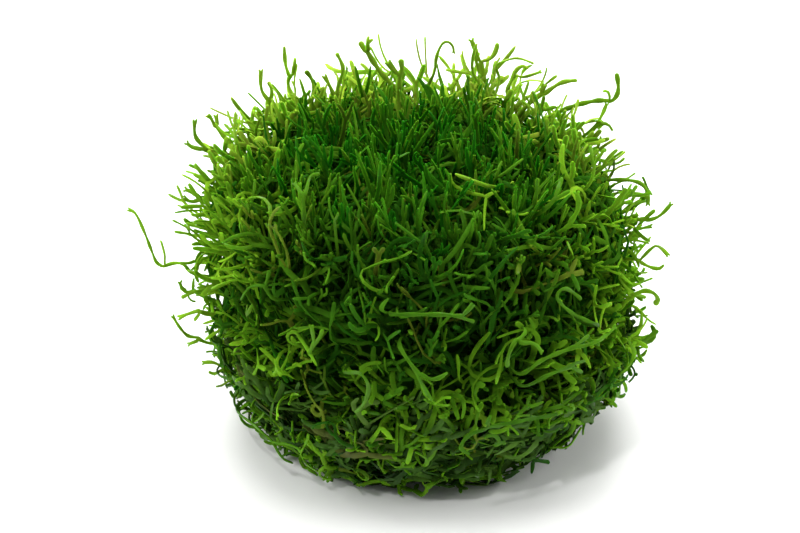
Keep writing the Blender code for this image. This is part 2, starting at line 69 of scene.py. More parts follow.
def add_camera():
    """The camera at the photograph's angle: back along the sight line, then left and up across it."""
    lens = bpy.data.cameras.new("camera")
    lens.lens = 100.0
    lens.sensor_width = 36.0
    lens.clip_start = 0.01
    lens.clip_end = 20.0
    camera = bpy.data.objects.new("camera", lens)
    across = -EYE_LEFT * MM
    back = -SIGHT_DISTANCE * FALL_COSINE + EYE_UP * FALL_SINE
    high = SIGHT_DISTANCE * FALL_SINE + EYE_UP * FALL_COSINE
    camera.location = (across, back * MM, high * MM)
    camera.rotation_euler = (math.pi / 2 - SIGHT_FALL, 0.0, 0.0)
    bpy.context.scene.collection.objects.link(camera)
    bpy.context.scene.camera = camera
    return camera


camera = add_camera()
print("camera at", [round(value, 3) for value in camera.location])

# %% [markdown]
# Directions as arrays
#
# A thallus is grown step by step, but all thalli of a region are stepped at once: every place, way and
# sideways direction is an array with one row for each thallus. Lengths are in millimetres, and become
# metres when a mesh is filled.

# %% Small tools for arrays of directions
SEED = 7204
UP = np.array([0.0, 0.0, 1.0])
LEVEL = np.array([1.0, 1.0, 0.0])
NO_LENGTH = 1e-9


def dot(first, second):
    """Row by row: how much of one direction lies along another, kept as a column."""
    return (first * second).sum(-1, keepdims=True)


def unit(rows):
    """Row by row: the same direction with a length of one."""
    return rows / np.maximum(np.linalg.norm(rows, axis=-1, keepdims=True), NO_LENGTH)


def squared(side, way):
    """The sideways direction less what it has along the way, so that the two are square."""
    return unit(side - way * dot(side, way))


def column(values):
    """One number for each row, as a column that can multiply directions."""
    return np.asarray(values, float)[:, None]


def smooth(values, low, high):
    """0 below low, 1 above high, and 3t^2 - 2t^3 between them."""
    share = np.clip((values - low) / (high - low), 0.0, 1.0)
    return share * share * (3.0 - 2.0 * share)


def turned(radius, turn, height):
    """Places told by radius, turn about Z and height: (r cos t, r sin t, h)."""
    return np.stack([radius * np.cos(turn), radius * np.sin(turn), height], -1)


def golden_turns(count):
    """Turns about Z, each of them the golden angle, pi (3 - sqrt 5), after the last."""
    return np.arange(count) * math.pi * (3.0 - math.sqrt(5.0))


def leftward(flat):
    """The level direction square to each direction, on its left when seen from above."""
    return np.stack([-flat[:, 1], flat[:, 0], 0.0 * flat[:, 0]], -1)


print("a quarter of the way along, smooth gives", smooth(0.25, 0.0, 1.0))

# %% [markdown]
# The skin of a forked strap
#
# The real thallus is one flat body that widens before a fork and parts round a small notch. It could be two
# tubes pushed into a third, but then each fork would hide loose ends. Here a strap is a chain of rings, and
# a fork shares its corners out: each arm begins with one half of the parent's last ring, closed across the
# notch by a saddle of new corners. So a whole thallus is a single closed skin of four-sided faces, and
# thousands of them are made by the same few lines, because rows of arrays stand for the plants.

# %% Rings, bands, saddles and tips
class Skin:
    """The skin of many thalli of one build: places (plants, corners, 3), and faces by corner number."""

    def __init__(self, plants, corners):
        self.plants = plants
        self.corners = corners
        self.places = []
        self.ages = []
        self.faces = []
        self.creases = []
        self.tips = []
        self.size = 0

    def add(self, places, age):
        """Adds corners to every plant and gives their numbers. Age is 0 at the foot and 1 at a tip."""
        numbers = list(range(self.size, self.size + places.shape[1]))
        self.places.append(places)
        self.ages.append(np.full(places.shape[1], age))
        self.size += places.shape[1]
        return numbers

    def ring(self, centre, way, side, width, thickness, age):
        """Corner k lies at centre + side cos(a) width/2 + normal sin(a) thickness/2.

        The angle a is half a turn and k parts of a whole one.
        """
        turn = math.pi + 2.0 * math.pi * np.arange(self.corners) / self.corners
        normal = np.cross(way, side)
        wide = column(width)[:, None] * side[:, None] * (np.cos(turn) / 2.0)[:, None]
        thick = column(thickness)[:, None] * normal[:, None] * (np.sin(turn) / 2.0)[:, None]
        return self.add(centre[:, None] + wide + thick, age)

    def saddle(self, centre, way, side, reach, thickness, age):
        """The notch of a fork: half an ellipse from the lower ridge over the crotch to the upper ridge."""
        half = self.corners // 2
        turn = math.pi * np.arange(1, half) / half
        normal = np.cross(way, side)
        ahead = column(reach)[:, None] * way[:, None] * np.sin(turn)[:, None]
        over = column(thickness)[:, None] * normal[:, None] * (-np.cos(turn) / 2.0)[:, None]
        return self.add(centre[:, None] + ahead + over, age)

    def band(self, ring, following):
        """Four-sided faces from one ring to the next, seen from outside."""
        for first in range(self.corners):
            second = (first + 1) % self.corners
            self.faces.append((ring[first], ring[second], following[second], following[first]))
        for edge in (0, self.corners // 2):
            self.creases.append((ring[edge], following[edge]))

    def close(self, ring):
        """Fills a ring with a strip of faces that look along the way; turned round, it looks back."""
        for first in range(self.corners // 2 - 1):
            last = self.corners - 1 - first
            self.faces.append((ring[first], ring[first + 1], ring[last - 1], ring[last]))

    def part(self, ring, saddle):
        """The first rings of the two arms: half of the parent's ring each, closed by the saddle."""
        low = self.corners // 4
        high = 3 * self.corners // 4
        middle = low - 1
        left = ring[: low + 1] + saddle + ring[high:]
        right = saddle[middle::-1] + ring[low : high + 1] + saddle[:middle:-1]
        return left, right


def for_all(skin, rows):
    """Faces or side edges of every plant: those of one, counted on from the last plant's corners."""
    one = np.array(rows)
    shifts = np.arange(skin.plants) * skin.size
    return (shifts[:, None, None] + one).reshape(-1, one.shape[1])


def sharpen(mesh, creases):
    """Marks these edges sharp, so that a strap's flat faces don't shade into each other round its side."""
    pairs = np.empty(2 * len(mesh.edges), np.int32)
    mesh.edges.foreach_get("vertices", pairs)
    count = len(mesh.vertices)

    def keys(rows):
        rows = rows.astype(np.int64)
        return rows.min(-1) * count + rows.max(-1)

    sharp = np.isin(keys(pairs.reshape(-1, 2)), keys(creases))
    layer = mesh.attributes.new("sharp_edge", "BOOLEAN", "EDGE")
    layer.data.foreach_set("value", sharp)


def fill_mesh(name, places, face_sets, attributes, creases=None):
    """Puts whole arrays into a mesh: places in millimetres, and faces of three or four corners in sets."""
    mesh = bpy.data.meshes.new(name)
    corners = np.concatenate([faces.ravel() for faces in face_sets])
    counts = np.concatenate([np.full(len(faces), faces.shape[1]) for faces in face_sets])
    mesh.vertices.add(len(places))
    mesh.vertices.foreach_set("co", (places * MM).astype(np.float32).ravel())
    mesh.loops.add(len(corners))
    mesh.loops.foreach_set("vertex_index", corners.astype(np.int32))
    mesh.polygons.add(len(counts))
    mesh.polygons.foreach_set("loop_start", np.concatenate([[0], np.cumsum(counts)[:-1]]).astype(np.int32))
    for title, values in attributes.items():
        layer = mesh.attributes.new(title, "FLOAT", "POINT")
        layer.data.foreach_set("value", values.astype(np.float32))
    mesh.update(calc_edges=True)
    mesh.validate()
    mesh.shade_smooth()
    if creases is not None:
        sharpen(mesh, creases)
    piece = bpy.data.objects.new(name, mesh)
    bpy.context.scene.collection.objects.link(piece)
    return piece


def triangles(piece):
    """How many triangles a piece has."""
    return sum(len(face.vertices) - 2 for face in piece.data.polygons)


# %% [markdown]
# The shape of the cushion
#
# The cup gave the clump its form: a round flat foot, sides that widen up to the belly, and a domed crown
# above the rim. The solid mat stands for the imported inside. The tips end further out, on a looser outline
# that can be read off the photograph's edge. Both are outlines in radius and height. How far a place lies
# beyond the outer one is all that the growth needs to know, and slow waves over it make tufts and hollows.

# %% How far a place lies beyond the outline of the tips
ENVELOPE = np.array([
    (23.6, 0.0), (26.4, 2.0), (29.1, 6.0), (32.0, 12.0), (34.0, 18.0), (34.8, 24.0), (34.8, 30.0),
    (33.4, 35.6), (30.2, 41.0), (25.4, 44.5), (20.0, 46.8), (12.0, 48.5), (0.0, 49.4)])
# How far the clump leans at a height, as (height, to the left, to the front)
LEANS = np.array([
    (0.0, 0.4, 0.6), (4.0, 0.2, 0.2), (8.0, -0.6, 0.0), (16.0, -0.8, 0.0), (22.0, 0.0, 0.0),
    (31.0, 0.4, 0.0), (42.0, 2.4, 0.0), (60.0, 2.4, 0.0)])
TUFT_SPACING = 11.0
TUFT_WAVES = 9
TUFT_HEIGHT = 1.3

chance = np.random.default_rng(SEED)
waves = unit(chance.normal(size=(TUFT_WAVES, 3))) * (2.0 * math.pi / TUFT_SPACING)
phases = chance.uniform(0.0, 2.0 * math.pi, TUFT_WAVES)


def tufts(places):
    """Slow waves from about -1 to 1: the sum of sines along a few fixed directions."""
    return np.sin(places @ waves.T + phases).sum(-1) / math.sqrt(TUFT_WAVES)


def lean_at(height):
    """How far the outline is shifted at a height: each row of the table reached in a straight line."""
    left, front = (np.interp(height, LEANS[:, 0], LEANS[:, axis]) for axis in (1, 2))
    return np.stack([-left, -front, 0.0 * left], -1)


def gap_from(outline, places):
    """Distance from the nearest stretch of a (radius, height) outline turned about Z, negative inside it."""
    flat = np.stack([np.hypot(places[:, 0], places[:, 1]), places[:, 2]], -1)
    nearest = np.full(len(flat), np.inf)
    gap = np.zeros(len(flat))
    for start, end in zip(outline, outline[1:]):
        along = end - start
        share = np.clip(((flat - start) @ along) / (along @ along), 0.0, 1.0)
        offset = flat - start - share[:, None] * along
        distance = np.linalg.norm(offset, axis=-1)
        sign = np.sign(offset @ np.array([along[1], -along[0]]))
        closer = distance < nearest
        nearest = np.where(closer, distance, nearest)
        gap = np.where(closer, sign * distance, gap)
    return gap


def beyond(places):
    """How far each place lies beyond the envelope, with the clump's lean taken out: negative inside."""
    return gap_from(ENVELOPE, places - lean_at(places[:, 2]))


def spread(count):
    """Places spread evenly over the envelope, with the way out at each.

    The golden angle turns them about Z, and each stands for the same share of the outline's area.
    """
    radii, heights = ENVELOPE.T
    runs = np.hypot(np.diff(radii), np.diff(heights))
    areas = np.concatenate([[0.0], np.cumsum((radii[1:] + radii[:-1]) * runs)])
    wanted = areas[-1] * (np.arange(count) + 0.5) / count
    band = np.clip(np.searchsorted(areas, wanted) - 1, 0, len(runs) - 1)
    share = (wanted - areas[band]) / (areas[band + 1] - areas[band])
    radius = radii[band] + share * np.diff(radii)[band]
    height = heights[band] + share * np.diff(heights)[band]
    turn = golden_turns(count)
    out = np.diff(heights)[band] / runs[band]
    up = -np.diff(radii)[band] / runs[band]
    return turned(radius, turn, height) + lean_at(height), turned(out, turn, up)


sample = tufts(spread(400)[0])
print("envelope:", len(ENVELOPE), "points; tufts from", round(sample.min(), 2), "to", round(sample.max(), 2))

# %% [markdown]
# Seen points, hollows and tall tufts
#
# Some things are best told as they are seen: so far across and so far up from the middle of the resting
# spot. A sight line is a small formula, so the places along it for a whole array of depths come out at
# once. The first that meets the outline is a place on the front: the dark hollows are told like that. A
# line that passes just outside the outline is nearest to it at the rim, where it turns away from the eye.
# So the tall and low places of the rim are told by points that lie a little way out from it. A tall tuft
# is then moved in, onto the outline, because plants of its own will stand there.

# %% Sight lines, hollows and tall tufts
SIGHT_STEP = 0.25
DEPTHS = np.arange(-46.0, 30.0, SIGHT_STEP)
HOLLOW = -6.5
DIP = -4.5
SIDE = 2.4
TALL = 4.2
HEART = np.array([0.0, 0.0, 20.0])
SWELL_FULL = 0.5
SWELL_END = 1.6
# Each as (across, up, radius, rise): where the growth ends lower or higher than elsewhere
FRONT_SWELLS = [
    (11.1, 7.4, 3.6, HOLLOW), (11.2, -1.4, 3.2, HOLLOW), (6.4, -5.2, 2.8, HOLLOW),
    (-11.6, 0.4, 3.2, HOLLOW), (-21.2, 18.4, 3.0, HOLLOW), (-5.4, 16.6, 3.0, HOLLOW),
    (22.4, 10.2, 3.0, HOLLOW), (-2.6, 1.6, 2.6, HOLLOW), (3.0, 20.0, 2.8, HOLLOW), (-17.0, 8.4, 2.4, HOLLOW)]
RIM_SWELLS = [
    (-31.0, 44.0, 2.6, DIP), (-37.5, 34.0, 2.8, DIP), (-37.5, 26.4, 3.0, SIDE), (-37.5, 19.6, 3.0, SIDE),
    (-20.4, 53.0, 1.9, TALL), (-14.8, 54.0, 3.2, DIP), (-6.4, 54.0, 4.0, DIP), (0.0, 54.0, 2.6, DIP),
    (9.7, 53.5, 2.2, TALL), (17.0, 53.5, 3.4, DIP), (29.6, 43.0, 3.4, DIP), (36.0, 32.0, 3.4, HOLLOW),
    (37.0, 24.0, 1.8, DIP), (37.0, 19.4, 2.6, SIDE), (36.6, 13.6, 2.6, SIDE), (37.0, 9.0, 1.8, DIP)]


def sighted(across, up, deep):
    """The places seen this far across and up that lie this far back in Y, for an array of depths.

    A place at depth d behind the resting spot looks smaller by k = 1 + d / distance, and its height on the
    sight plane is z cos(fall) + y sin(fall). Solving both for z gives the line below.
    """
    above_eye = up - EYE_UP
    flat_ratio = 1.0 + deep * FALL_COSINE / SIGHT_DISTANCE
    z = (above_eye * flat_ratio + EYE_UP - deep * FALL_SINE) / (
        FALL_COSINE + above_eye * FALL_SINE / SIGHT_DISTANCE)
    ratio = flat_ratio - z * FALL_SINE / SIGHT_DISTANCE
    return np.stack([(across + EYE_LEFT) * ratio - EYE_LEFT, deep, z], -1)


def swell_places(rows):
    """Where the sight line of each row first meets the outline, or where it passes nearest to it.

    A tall tuft that the line only passes is moved towards the heart of the clump, by its gap.
    """
    found = []
    for across, up, radius, rise in rows:
        line = sighted(across, up, DEPTHS)
        gaps = beyond(line)
        inside = gaps <= 0.0
        at = np.argmax(inside) if inside.any() else np.argmin(gaps)
        back = gaps[at].clip(0.0) if rise == TALL else 0.0
        found.append((*(line[at] + unit(HEART - line[at]) * back), radius, rise))
    return np.array(found)


SWELLS = swell_places(FRONT_SWELLS + RIM_SWELLS)


def swollen(places):
    """How much higher the growth ends at each place: each row's rise, falling off round its middle."""
    middles, radii, rises = SWELLS[:, :3], SWELLS[:, 3], SWELLS[:, 4]
    apart = np.linalg.norm(places[:, None] - middles[None], axis=-1) / radii
    return ((1.0 - smooth(apart, SWELL_FULL, SWELL_END)) * rises).sum(-1)


print("hollows and tall tufts:", len(SWELLS))

# %% [markdown]
# The core
#
# Deep in the clump the straps are old, dark and pressed together, and hardly any light gets there. What
# shows of them between the live growth is near black. They could be grown like the rest, but nobody would
# see it. So the core is one closed, lumpy surface a few millimetres inside the solid mat, under everything
# that grows: a profile turned about Z, with the tufts' slow waves and a finer one pushing it in and out.

# %% The core
CORE_FOOT = 21.5
CORE_BELLY = 25.6
CORE_BELLY_HEIGHT = 21.0
CORE_CROWN = 38.6
CORE_BOTTOM = 0.6
CORE_FULLNESS = 2.4
CORE_LUMPS = 1.1
CORE_GRAIN = 0.45
CORE_MIDDLE = np.array([0.0, 0.0, 18.0])
CORE_SKIRT = 0.4
CORE_TURNS = 120
CORE_LEVELS = 64
GRAIN_SPACING = 3.2


def core_profile(share):
    """(radius, height) from foot to crown: a quarter sine up to the belly, a quarter superellipse above."""
    low = share < CORE_SKIRT
    skirt = np.clip(share / CORE_SKIRT, 0.0, 1.0)
    dome = np.clip((share - CORE_SKIRT) / (1.0 - CORE_SKIRT), 0.0, 1.0) * (math.pi / 2.0)
    power = 2.0 / CORE_FULLNESS
    foot = CORE_FOOT + (CORE_BELLY - CORE_FOOT) * np.sin(math.pi / 2.0 * skirt)
    radius = np.where(low, foot, CORE_BELLY * np.clip(np.cos(dome), 0.0, 1.0) ** power)
    below = CORE_BOTTOM + (CORE_BELLY_HEIGHT - CORE_BOTTOM) * skirt
    rise = (CORE_CROWN - CORE_BELLY_HEIGHT) * np.sin(dome) ** power
    return radius, np.where(low, below, CORE_BELLY_HEIGHT + rise)


def make_core():
    """The profile turned about Z, lumped along the way out, with one corner at each pole."""
    radius, height = core_profile(np.linspace(0.0, 1.0, CORE_LEVELS, endpoint=False))
    turn = np.arange(CORE_TURNS) * 2.0 * math.pi / CORE_TURNS
    grid = turned(radius[:, None], turn, height[:, None] + 0.0 * turn).reshape(-1, 3)
    finer = tufts(grid * (TUFT_SPACING / GRAIN_SPACING))
    places = grid + unit(grid - CORE_MIDDLE) * column(CORE_LUMPS * tufts(grid) + CORE_GRAIN * finer)
    places[:, 2] = np.maximum(places[:, 2], CORE_BOTTOM)
    poles = np.array([(0.0, 0.0, CORE_BOTTOM), (0.0, 0.0, CORE_CROWN)])
    ring = np.arange(CORE_TURNS)
    after = (ring + 1) % CORE_TURNS
    low = np.arange(CORE_LEVELS - 1)[:, None] * CORE_TURNS
    high = low + CORE_TURNS
    walls = np.stack([low + ring, low + after, high + after, high + ring], -1).reshape(-1, 4)
    top = (CORE_LEVELS - 1) * CORE_TURNS
    bottom_pole = CORE_LEVELS * CORE_TURNS
    under = np.stack([after, ring, 0 * ring + bottom_pole], -1)
    over = np.stack([top + ring, top + after, 0 * ring + bottom_pole + 1], -1)
    places = np.concatenate([places, poles])
    still = np.zeros(len(places))
    return fill_mesh("mat_core", places, [walls, under, over],
                     {"age": still, "tone": still, "lime": still, "depth": -beyond(places)})


core = make_core()
print("core:", triangles(core), "triangles")

# %% [markdown]
# Growing straps
#
# A growing strap heads somewhere, and strays from it. Each one is walked forward in small steps, in which
# its way turns a little towards where its region grows and a little by a bend of its own. After a walk it
# forks: the two arms start a quarter of the width to each side, splayed, and then come round again, which
# gives the antler shapes of the real plant. A walk, a fork and the same again make a whole thallus.

# %% Walking and forking
SUBSTEPS = 2
THICKNESS = 0.33
FORK_CLEAR = 0.56
FORK_REACH = 0.34
FLARE = 1.12
ARM_SHARE = 0.93

# Where the rings of a stretch stand, as shares of its length, and how wide each is.
Detail = namedtuple("Detail", "stem stretch tip")
FINE = Detail(
    ((0.14, 0.9), (0.29, 0.95), (0.44, 1.0), (0.58, 0.94), (0.72, 0.97), (0.86, 1.02), (1.0, FLARE)),
    ((0.0, 1.0), (0.2, 0.93), (0.4, 0.97), (0.6, 1.0), (0.8, 1.02), (1.0, FLARE)),
    ((0.0, 1.0), (0.22, 0.97), (0.44, 1.02), (0.66, 1.0), (0.82, 0.94), (0.94, 0.74), (1.0, 0.40)))
TAPERED = Detail(
    FINE.stem, FINE.stretch,
    ((0.0, 1.0), (0.22, 0.94), (0.44, 0.92), (0.66, 0.84), (0.82, 0.72), (0.94, 0.54), (1.0, 0.28)))
COARSE = Detail(
    ((0.35, 0.95), (0.7, 0.95), (1.0, FLARE)),
    ((0.0, 1.0), (0.5, 0.95), (1.0, FLARE)),
    ((0.0, 1.0), (0.5, 1.0), (0.9, 0.8), (1.0, 0.40)))
SHORT_TIP = (0.7, 1.3)
SHORTEST = 0.3
THIN_UNTIL = 0.5
THIN = 0.55
FOOT_SHARE = 0.8
CURLED = 0.22
CURL = 2.6
NEAR_FLOOR = 0.7
UPTURN = 0.02

Habit = namedtuple("Habit", "stem arm tip splay pull bend twist wander width short")


def walk(start, way, side, stops, steer, pull, bend, lift, twist):
    """Steps many straps at once to each of their stops, and gives place, way and side there.

    Each step turns the way by step * (pull * (wanted - way) + bend * side + lift * normal), and goes along
    it, while the side turns about the way by step * twist.
    """
    place = start
    before = np.zeros(len(start))
    for stop in stops:
        step = column((stop - before) / SUBSTEPS)
        for _ in range(SUBSTEPS):
            normal = np.cross(way, side)
            turn = pull * (steer(place) - way) + column(bend) * side + column(lift) * normal
            way = unit(way + step * turn)
            low = place[:, 2] < NEAR_FLOOR
            way[:, 2] = np.where(low, np.maximum(way[:, 2], UPTURN), way[:, 2])
            side = squared(side + step * column(twist) * normal, way)
            place = place + way * step
        before = stop
        yield place, way, side


def grow(skin, ring, start, way, side, level, width, habit, size, draws, steer, young, detail=FINE):
    """One stretch of every thallus, and then its two arms, down to the tips.

    Level 0 is a tip. Size scales the lengths of each plant, so that its tips can be brought to the envelope.
    """
    plants = len(start)
    spans = habit.tip if level == 0 else habit.arm
    if ring is None:
        spans = habit.stem
    length = draws.uniform(*spans, plants) * size
    if level == 0:
        length = np.where(draws.random(plants) < habit.short, draws.uniform(*SHORT_TIP, plants), length)
    curl = habit.bend * np.where(draws.random(plants) < CURLED, CURL, 1.0)
    bend = draws.normal(0.0, 1.0, plants) * curl
    lift = draws.normal(0.0, 1.0, plants) * curl
    twist = draws.normal(0.0, habit.twist, plants)
    if ring is None:
        shares, widths = zip(*detail.stem)
        stops = [length * share for share in shares]
        thick = FOOT_SHARE * THICKNESS + 0.0 * width
        ring = skin.ring(start, way, side, FOOT_SHARE * width, thick, young[0])
        skin.close(ring[::-1])
    else:
        clear = FORK_CLEAR * width / ARM_SHARE
        shares, widths = zip(*(detail.tip if level == 0 else detail.stretch))
        stops = [clear + np.maximum(length - clear, SHORTEST) * share for share in shares]
    ages = np.linspace(young[0], young[1], len(stops) + 1)[1:]
    walked = walk(start, way, side, stops, steer, habit.pull, bend, lift, twist)
    for (place, way, side), share, age in zip(walked, widths, ages):
        thick = THICKNESS * (THIN if share < THIN_UNTIL else 1.0)
        following = skin.ring(place, way, side, width * share, thick + 0.0 * width, age)
        skin.band(ring, following)
        ring = following
    if level == 0:
        skin.close(ring)
        skin.tips.append(place)
        return
    notch = skin.saddle(place, way, side, FORK_REACH * width, THICKNESS + 0.0 * width, ages[-1])
    arms = skin.part(ring, notch)
    for sign, arm_ring in zip((-1.0, 1.0), arms):
        splay = np.radians(draws.uniform(*habit.splay, plants))
        arm_way = unit(way * column(np.cos(splay)) + side * column(sign * np.sin(splay)))
        arm_side = squared(side, arm_way)
        foot = place + side * column(sign * width / 4.0)
        last = young[1] + (1.0 - young[1]) * (1.0 if level == 1 else 0.5)
        grow(skin, arm_ring, foot, arm_way, arm_side, level - 1, width * ARM_SHARE, habit, size, draws,
             steer, (young[1], last), detail)


print("rings of a tip:", len(FINE.tip), "when fine,", len(COARSE.tip), "when coarse")

# %% [markdown]
# Regions of growth
#
# The clump doesn't look the same all over. On the crown the straps stand up side by side like grass, and on
# the crest behind it they are broader, lean out more and glow against the light, and are coloured lighter as
# painted backlight. On the flanks they reach out and up, coloured yellower and lighter as painted side
# light.
# High on the front they hang together in locks coloured dark green, partly painted shade, and lower down
# they are a tangle of short forked pieces over hollows. Each region is one row of a table, with its own
# habit: how long the stretches are, how hard they turn to where the region grows, how much they bend, and
# how they wander.

# %% How each region steers its straps
Region = namedtuple("Region", ["habit", "detail", "twice", "crowd", "depth", "outward", "upward", "swing",
                               "roll", "tangle", "edge", "skew", "lime"])
CROWN_FROM = 0.60
LOWER_BELOW = 23.0
LOWER_WIDE = 72.0
FRONT_WIDE = 52.0
FLANK_WIDE = 38.0
CREST_FROM = 0.40
CREST_BELOW = 0.95
CREST_BEHIND = -0.08
SKIRT_BELOW = 6.5
FLATTER = np.array([1.0, 1.0, 0.25])
TANGLED = (8.0, 28.0)
SAG = 0.7
LOW_STRAY = 0.3
STEEP = (24.0, 42.0)
STEEPER = 0.42
STRAP_CORNERS = 4
YOUNG_STEM = (0.0, 0.34)
LOWEST_FOOT = 1.0
FOOT_STRAY = 1.4
FOOT_OUT = 0.2
FLOOR_CLEAR = 0.02

# The last column, lime, is partly painted light: high on the lit crest and flanks, low on the shaded front
# and crown.
REGIONS = {
    "crown": Region(
        Habit((6.5, 10.0), (4.4, 7.6), (2.4, 6.4), (7, 18), 0.16, 0.06, 0.14, 0.08, (0.46, 0.82), 0.16),
        TAPERED, 0.35, 2150, (11.5, 14.5), 0.28, 1.0, 0.13, 0.08, 0.0, (-9.0, 1.2), 1.0, 0.04),
    "crest": Region(
        Habit((7.0, 10.5), (4.4, 8.0), (2.4, 6.6), (14, 32), 0.12, 0.10, 0.18, 0.18, (0.54, 0.92), 0.12),
        FINE, 0.5, 1450, (9.5, 13.0), 0.42, 1.0, 0.34, 0.22, 0.0, (-9.0, 0.6), 1.1, 0.75),
    "left": Region(
        Habit((5.4, 8.4), (3.8, 6.6), (1.8, 5.6), (20, 42), 0.11, 0.12, 0.20, 0.20, (0.50, 0.90), 0.20),
        FINE, 0.5, 1800, (9.5, 12.5), 0.74, 0.80, 0.40, 0.26, 1.2, (-8.0, 0.9), 0.9, 0.74),
    "right": Region(
        Habit((5.4, 8.4), (3.6, 6.4), (1.6, 5.4), (20, 42), 0.10, 0.13, 0.20, 0.22, (0.50, 0.90), 0.22),
        FINE, 0.5, 1450, (9.5, 12.5), 0.76, 0.66, 0.46, 0.28, 1.2, (-8.5, 0.5), 1.0, 0.66),
    "lower": Region(
        Habit((4.0, 6.6), (2.4, 4.8), (1.0, 3.6), (24, 50), 0.10, 0.17, 0.24, 0.18, (0.46, 1.02), 0.36),
        FINE, 0.80, 1750, (8.0, 11.0), 0.44, 0.60, 0.55, 0.45, 1.0, (-8.5, 1.0), 1.1, 0.26),
    "front": Region(
        Habit((5.4, 8.4), (3.6, 6.4), (1.4, 5.4), (16, 40), 0.12, 0.12, 0.20, 0.12, (0.42, 0.76), 0.30),
        FINE, 0.45, 1900, (9.0, 12.0), 0.24, 1.0, 0.15, 0.10, 5.0, (-8.0, 1.1), 1.1, -0.10),
    "back": Region(
        Habit((5.0, 7.2), (3.2, 5.2), (1.4, 4.4), (20, 40), 0.11, 0.10, 0.18, 0.20, (0.48, 0.86), 0.26),
        FINE, 0.5, 1400, (9.5, 12.5), 0.85, 0.60, 0.38, 0.24, 1.2, (-8.0, 1.2), 1.1, 0.50),
}


def region_of(places, outward):
    """The region that each place belongs to: by how far its way out points up, height and direction."""
    turn = np.degrees(np.arctan2(places[:, 1], places[:, 0]))
    off_front = np.abs(turn + 90.0)
    names = np.where(np.abs(turn) < FLANK_WIDE, "right", "back")
    names = np.where(off_front < FRONT_WIDE, "front", names)
    names = np.where(np.abs(np.abs(turn) - 180.0) < FLANK_WIDE, "left", names)
    names = np.where((places[:, 2] < LOWER_BELOW) & (off_front < LOWER_WIDE), "lower", names)
    names = np.where(places[:, 2] < SKIRT_BELOW, "skirt", names)
    names = np.where(outward[:, 2] > CROWN_FROM, "crown", names)
    rim = (outward[:, 2] > CREST_FROM) & (outward[:, 2] < CREST_BELOW)
    behind = places[:, 1] > CREST_BEHIND * np.hypot(places[:, 0], places[:, 1])
    return np.where(rim & behind, "crest", names)


def toward(region, places, outward, draws):
    """A steer that always points the same way: out, up and round in the region's shares, and by chance.

    Low down, where the wall leans out over the straps, fewer of them turn up, and they tangle more. High
    up, above the cup's rim, they lean out less.
    """
    plants = len(places)
    flat = unit(outward * FLATTER)
    low = 1.0 - smooth(places[:, 2], *TANGLED)
    more = 1.0 + region.tangle * low
    up = region.upward * (1.0 - SAG * low) + draws.normal(0.0, region.roll, plants) * more
    swing = draws.normal(0.0, region.swing, plants) * more
    wander = region.habit.wander * (1.0 + LOW_STRAY * region.tangle * low)
    stray = draws.normal(size=(plants, 3)) * column(wander)
    out = region.outward * (1.0 - STEEPER * smooth(places[:, 2], *STEEP))
    wanted = unit(flat * column(out) + UP * column(up) + leftward(flat) * column(swing) + stray)
    return lambda place: wanted


def grown_once(seed, forks, region, places, outward, size):
    """The skin of these plants, each one's lengths scaled by its own size, and how deep their feet are."""
    habit = region.habit
    draws = np.random.default_rng(seed)
    plants = len(places)
    depth = draws.uniform(*region.depth, plants)
    width = draws.uniform(*habit.width, plants)
    steer = toward(region, places, outward, draws)
    foot = places - outward * column(depth)
    foot[:, 2] = np.maximum(foot[:, 2], LOWEST_FOOT)
    stray = draws.normal(size=(plants, 3)) * FOOT_STRAY * habit.wander
    way = unit(steer(foot) + stray + outward * FOOT_OUT)
    side = squared(draws.normal(size=(plants, 3)), way)
    skin = Skin(plants, STRAP_CORNERS)
    grow(skin, None, foot, way, side, forks, width, habit, size, draws, steer, YOUNG_STEM, region.detail)
    return skin, depth


def reach_of(skin, tips_only=True):
    """How far beyond the envelope each plant's furthest tip lies, or its furthest corner."""
    if tips_only:
        return np.max([beyond(tip) for tip in skin.tips], axis=0)
    places = np.concatenate(skin.places, axis=1)
    return beyond(places.reshape(-1, 3)).reshape(skin.plants, -1).max(1)


def skins_piece(name, builds):
    """A piece from several builds, each (skin, wanted plants, tone, lime), with age along every strap."""
    places, faces, creases, ages, tones, limes = [], [], [], [], [], []
    corners = 0
    for skin, wanted, tone, lime in builds:
        kept = np.concatenate(skin.places, axis=1)[wanted]
        skin.plants = len(kept)
        places.append(kept.reshape(-1, 3))
        faces.append(for_all(skin, skin.faces) + corners)
        creases.append(for_all(skin, skin.creases) + corners)
        ages.append(np.tile(np.concatenate(skin.ages), skin.plants))
        tones.append(np.repeat(tone[wanted], skin.size))
        limes.append(np.repeat(lime[wanted], skin.size))
        corners += len(places[-1])
    places = np.concatenate(places)
    places[:, 2] = np.maximum(places[:, 2], FLOOR_CLEAR)
    attributes = {"age": np.concatenate(ages), "tone": np.concatenate(tones), "lime": np.concatenate(limes),
                  "depth": -beyond(places)}
    return fill_mesh(name, places, faces, attributes, np.concatenate(creases))


print("regions:", ", ".join(REGIONS))

# %% [markdown]
# Bringing the tips to the outline
#
# If each plant had a length at random, the clump's edge would be a haze. Real growth stops about where the
# cup's wall and the water's face stopped it. So a region is grown again and again with the same draws: first
# to see how far each plant reaches, and then with its lengths scaled so that it ends where it should. Few
# tips come all the way out. The others end at every depth below, so straps are seen along their sides and
# dark gaps open between them. In a tall tuft more plants stand, and more of their tips come out.

# %% Growing a region
FIT_ROUNDS = 2
SIZE_LIMITS = (0.55, 1.8)
REGION_SEED = SEED + 100
ONCE_LONGER = 1.4
OVERSHOOT = 1.6
FULLER = 0.75
THICKER = 5
THICK_FROM = 0.7
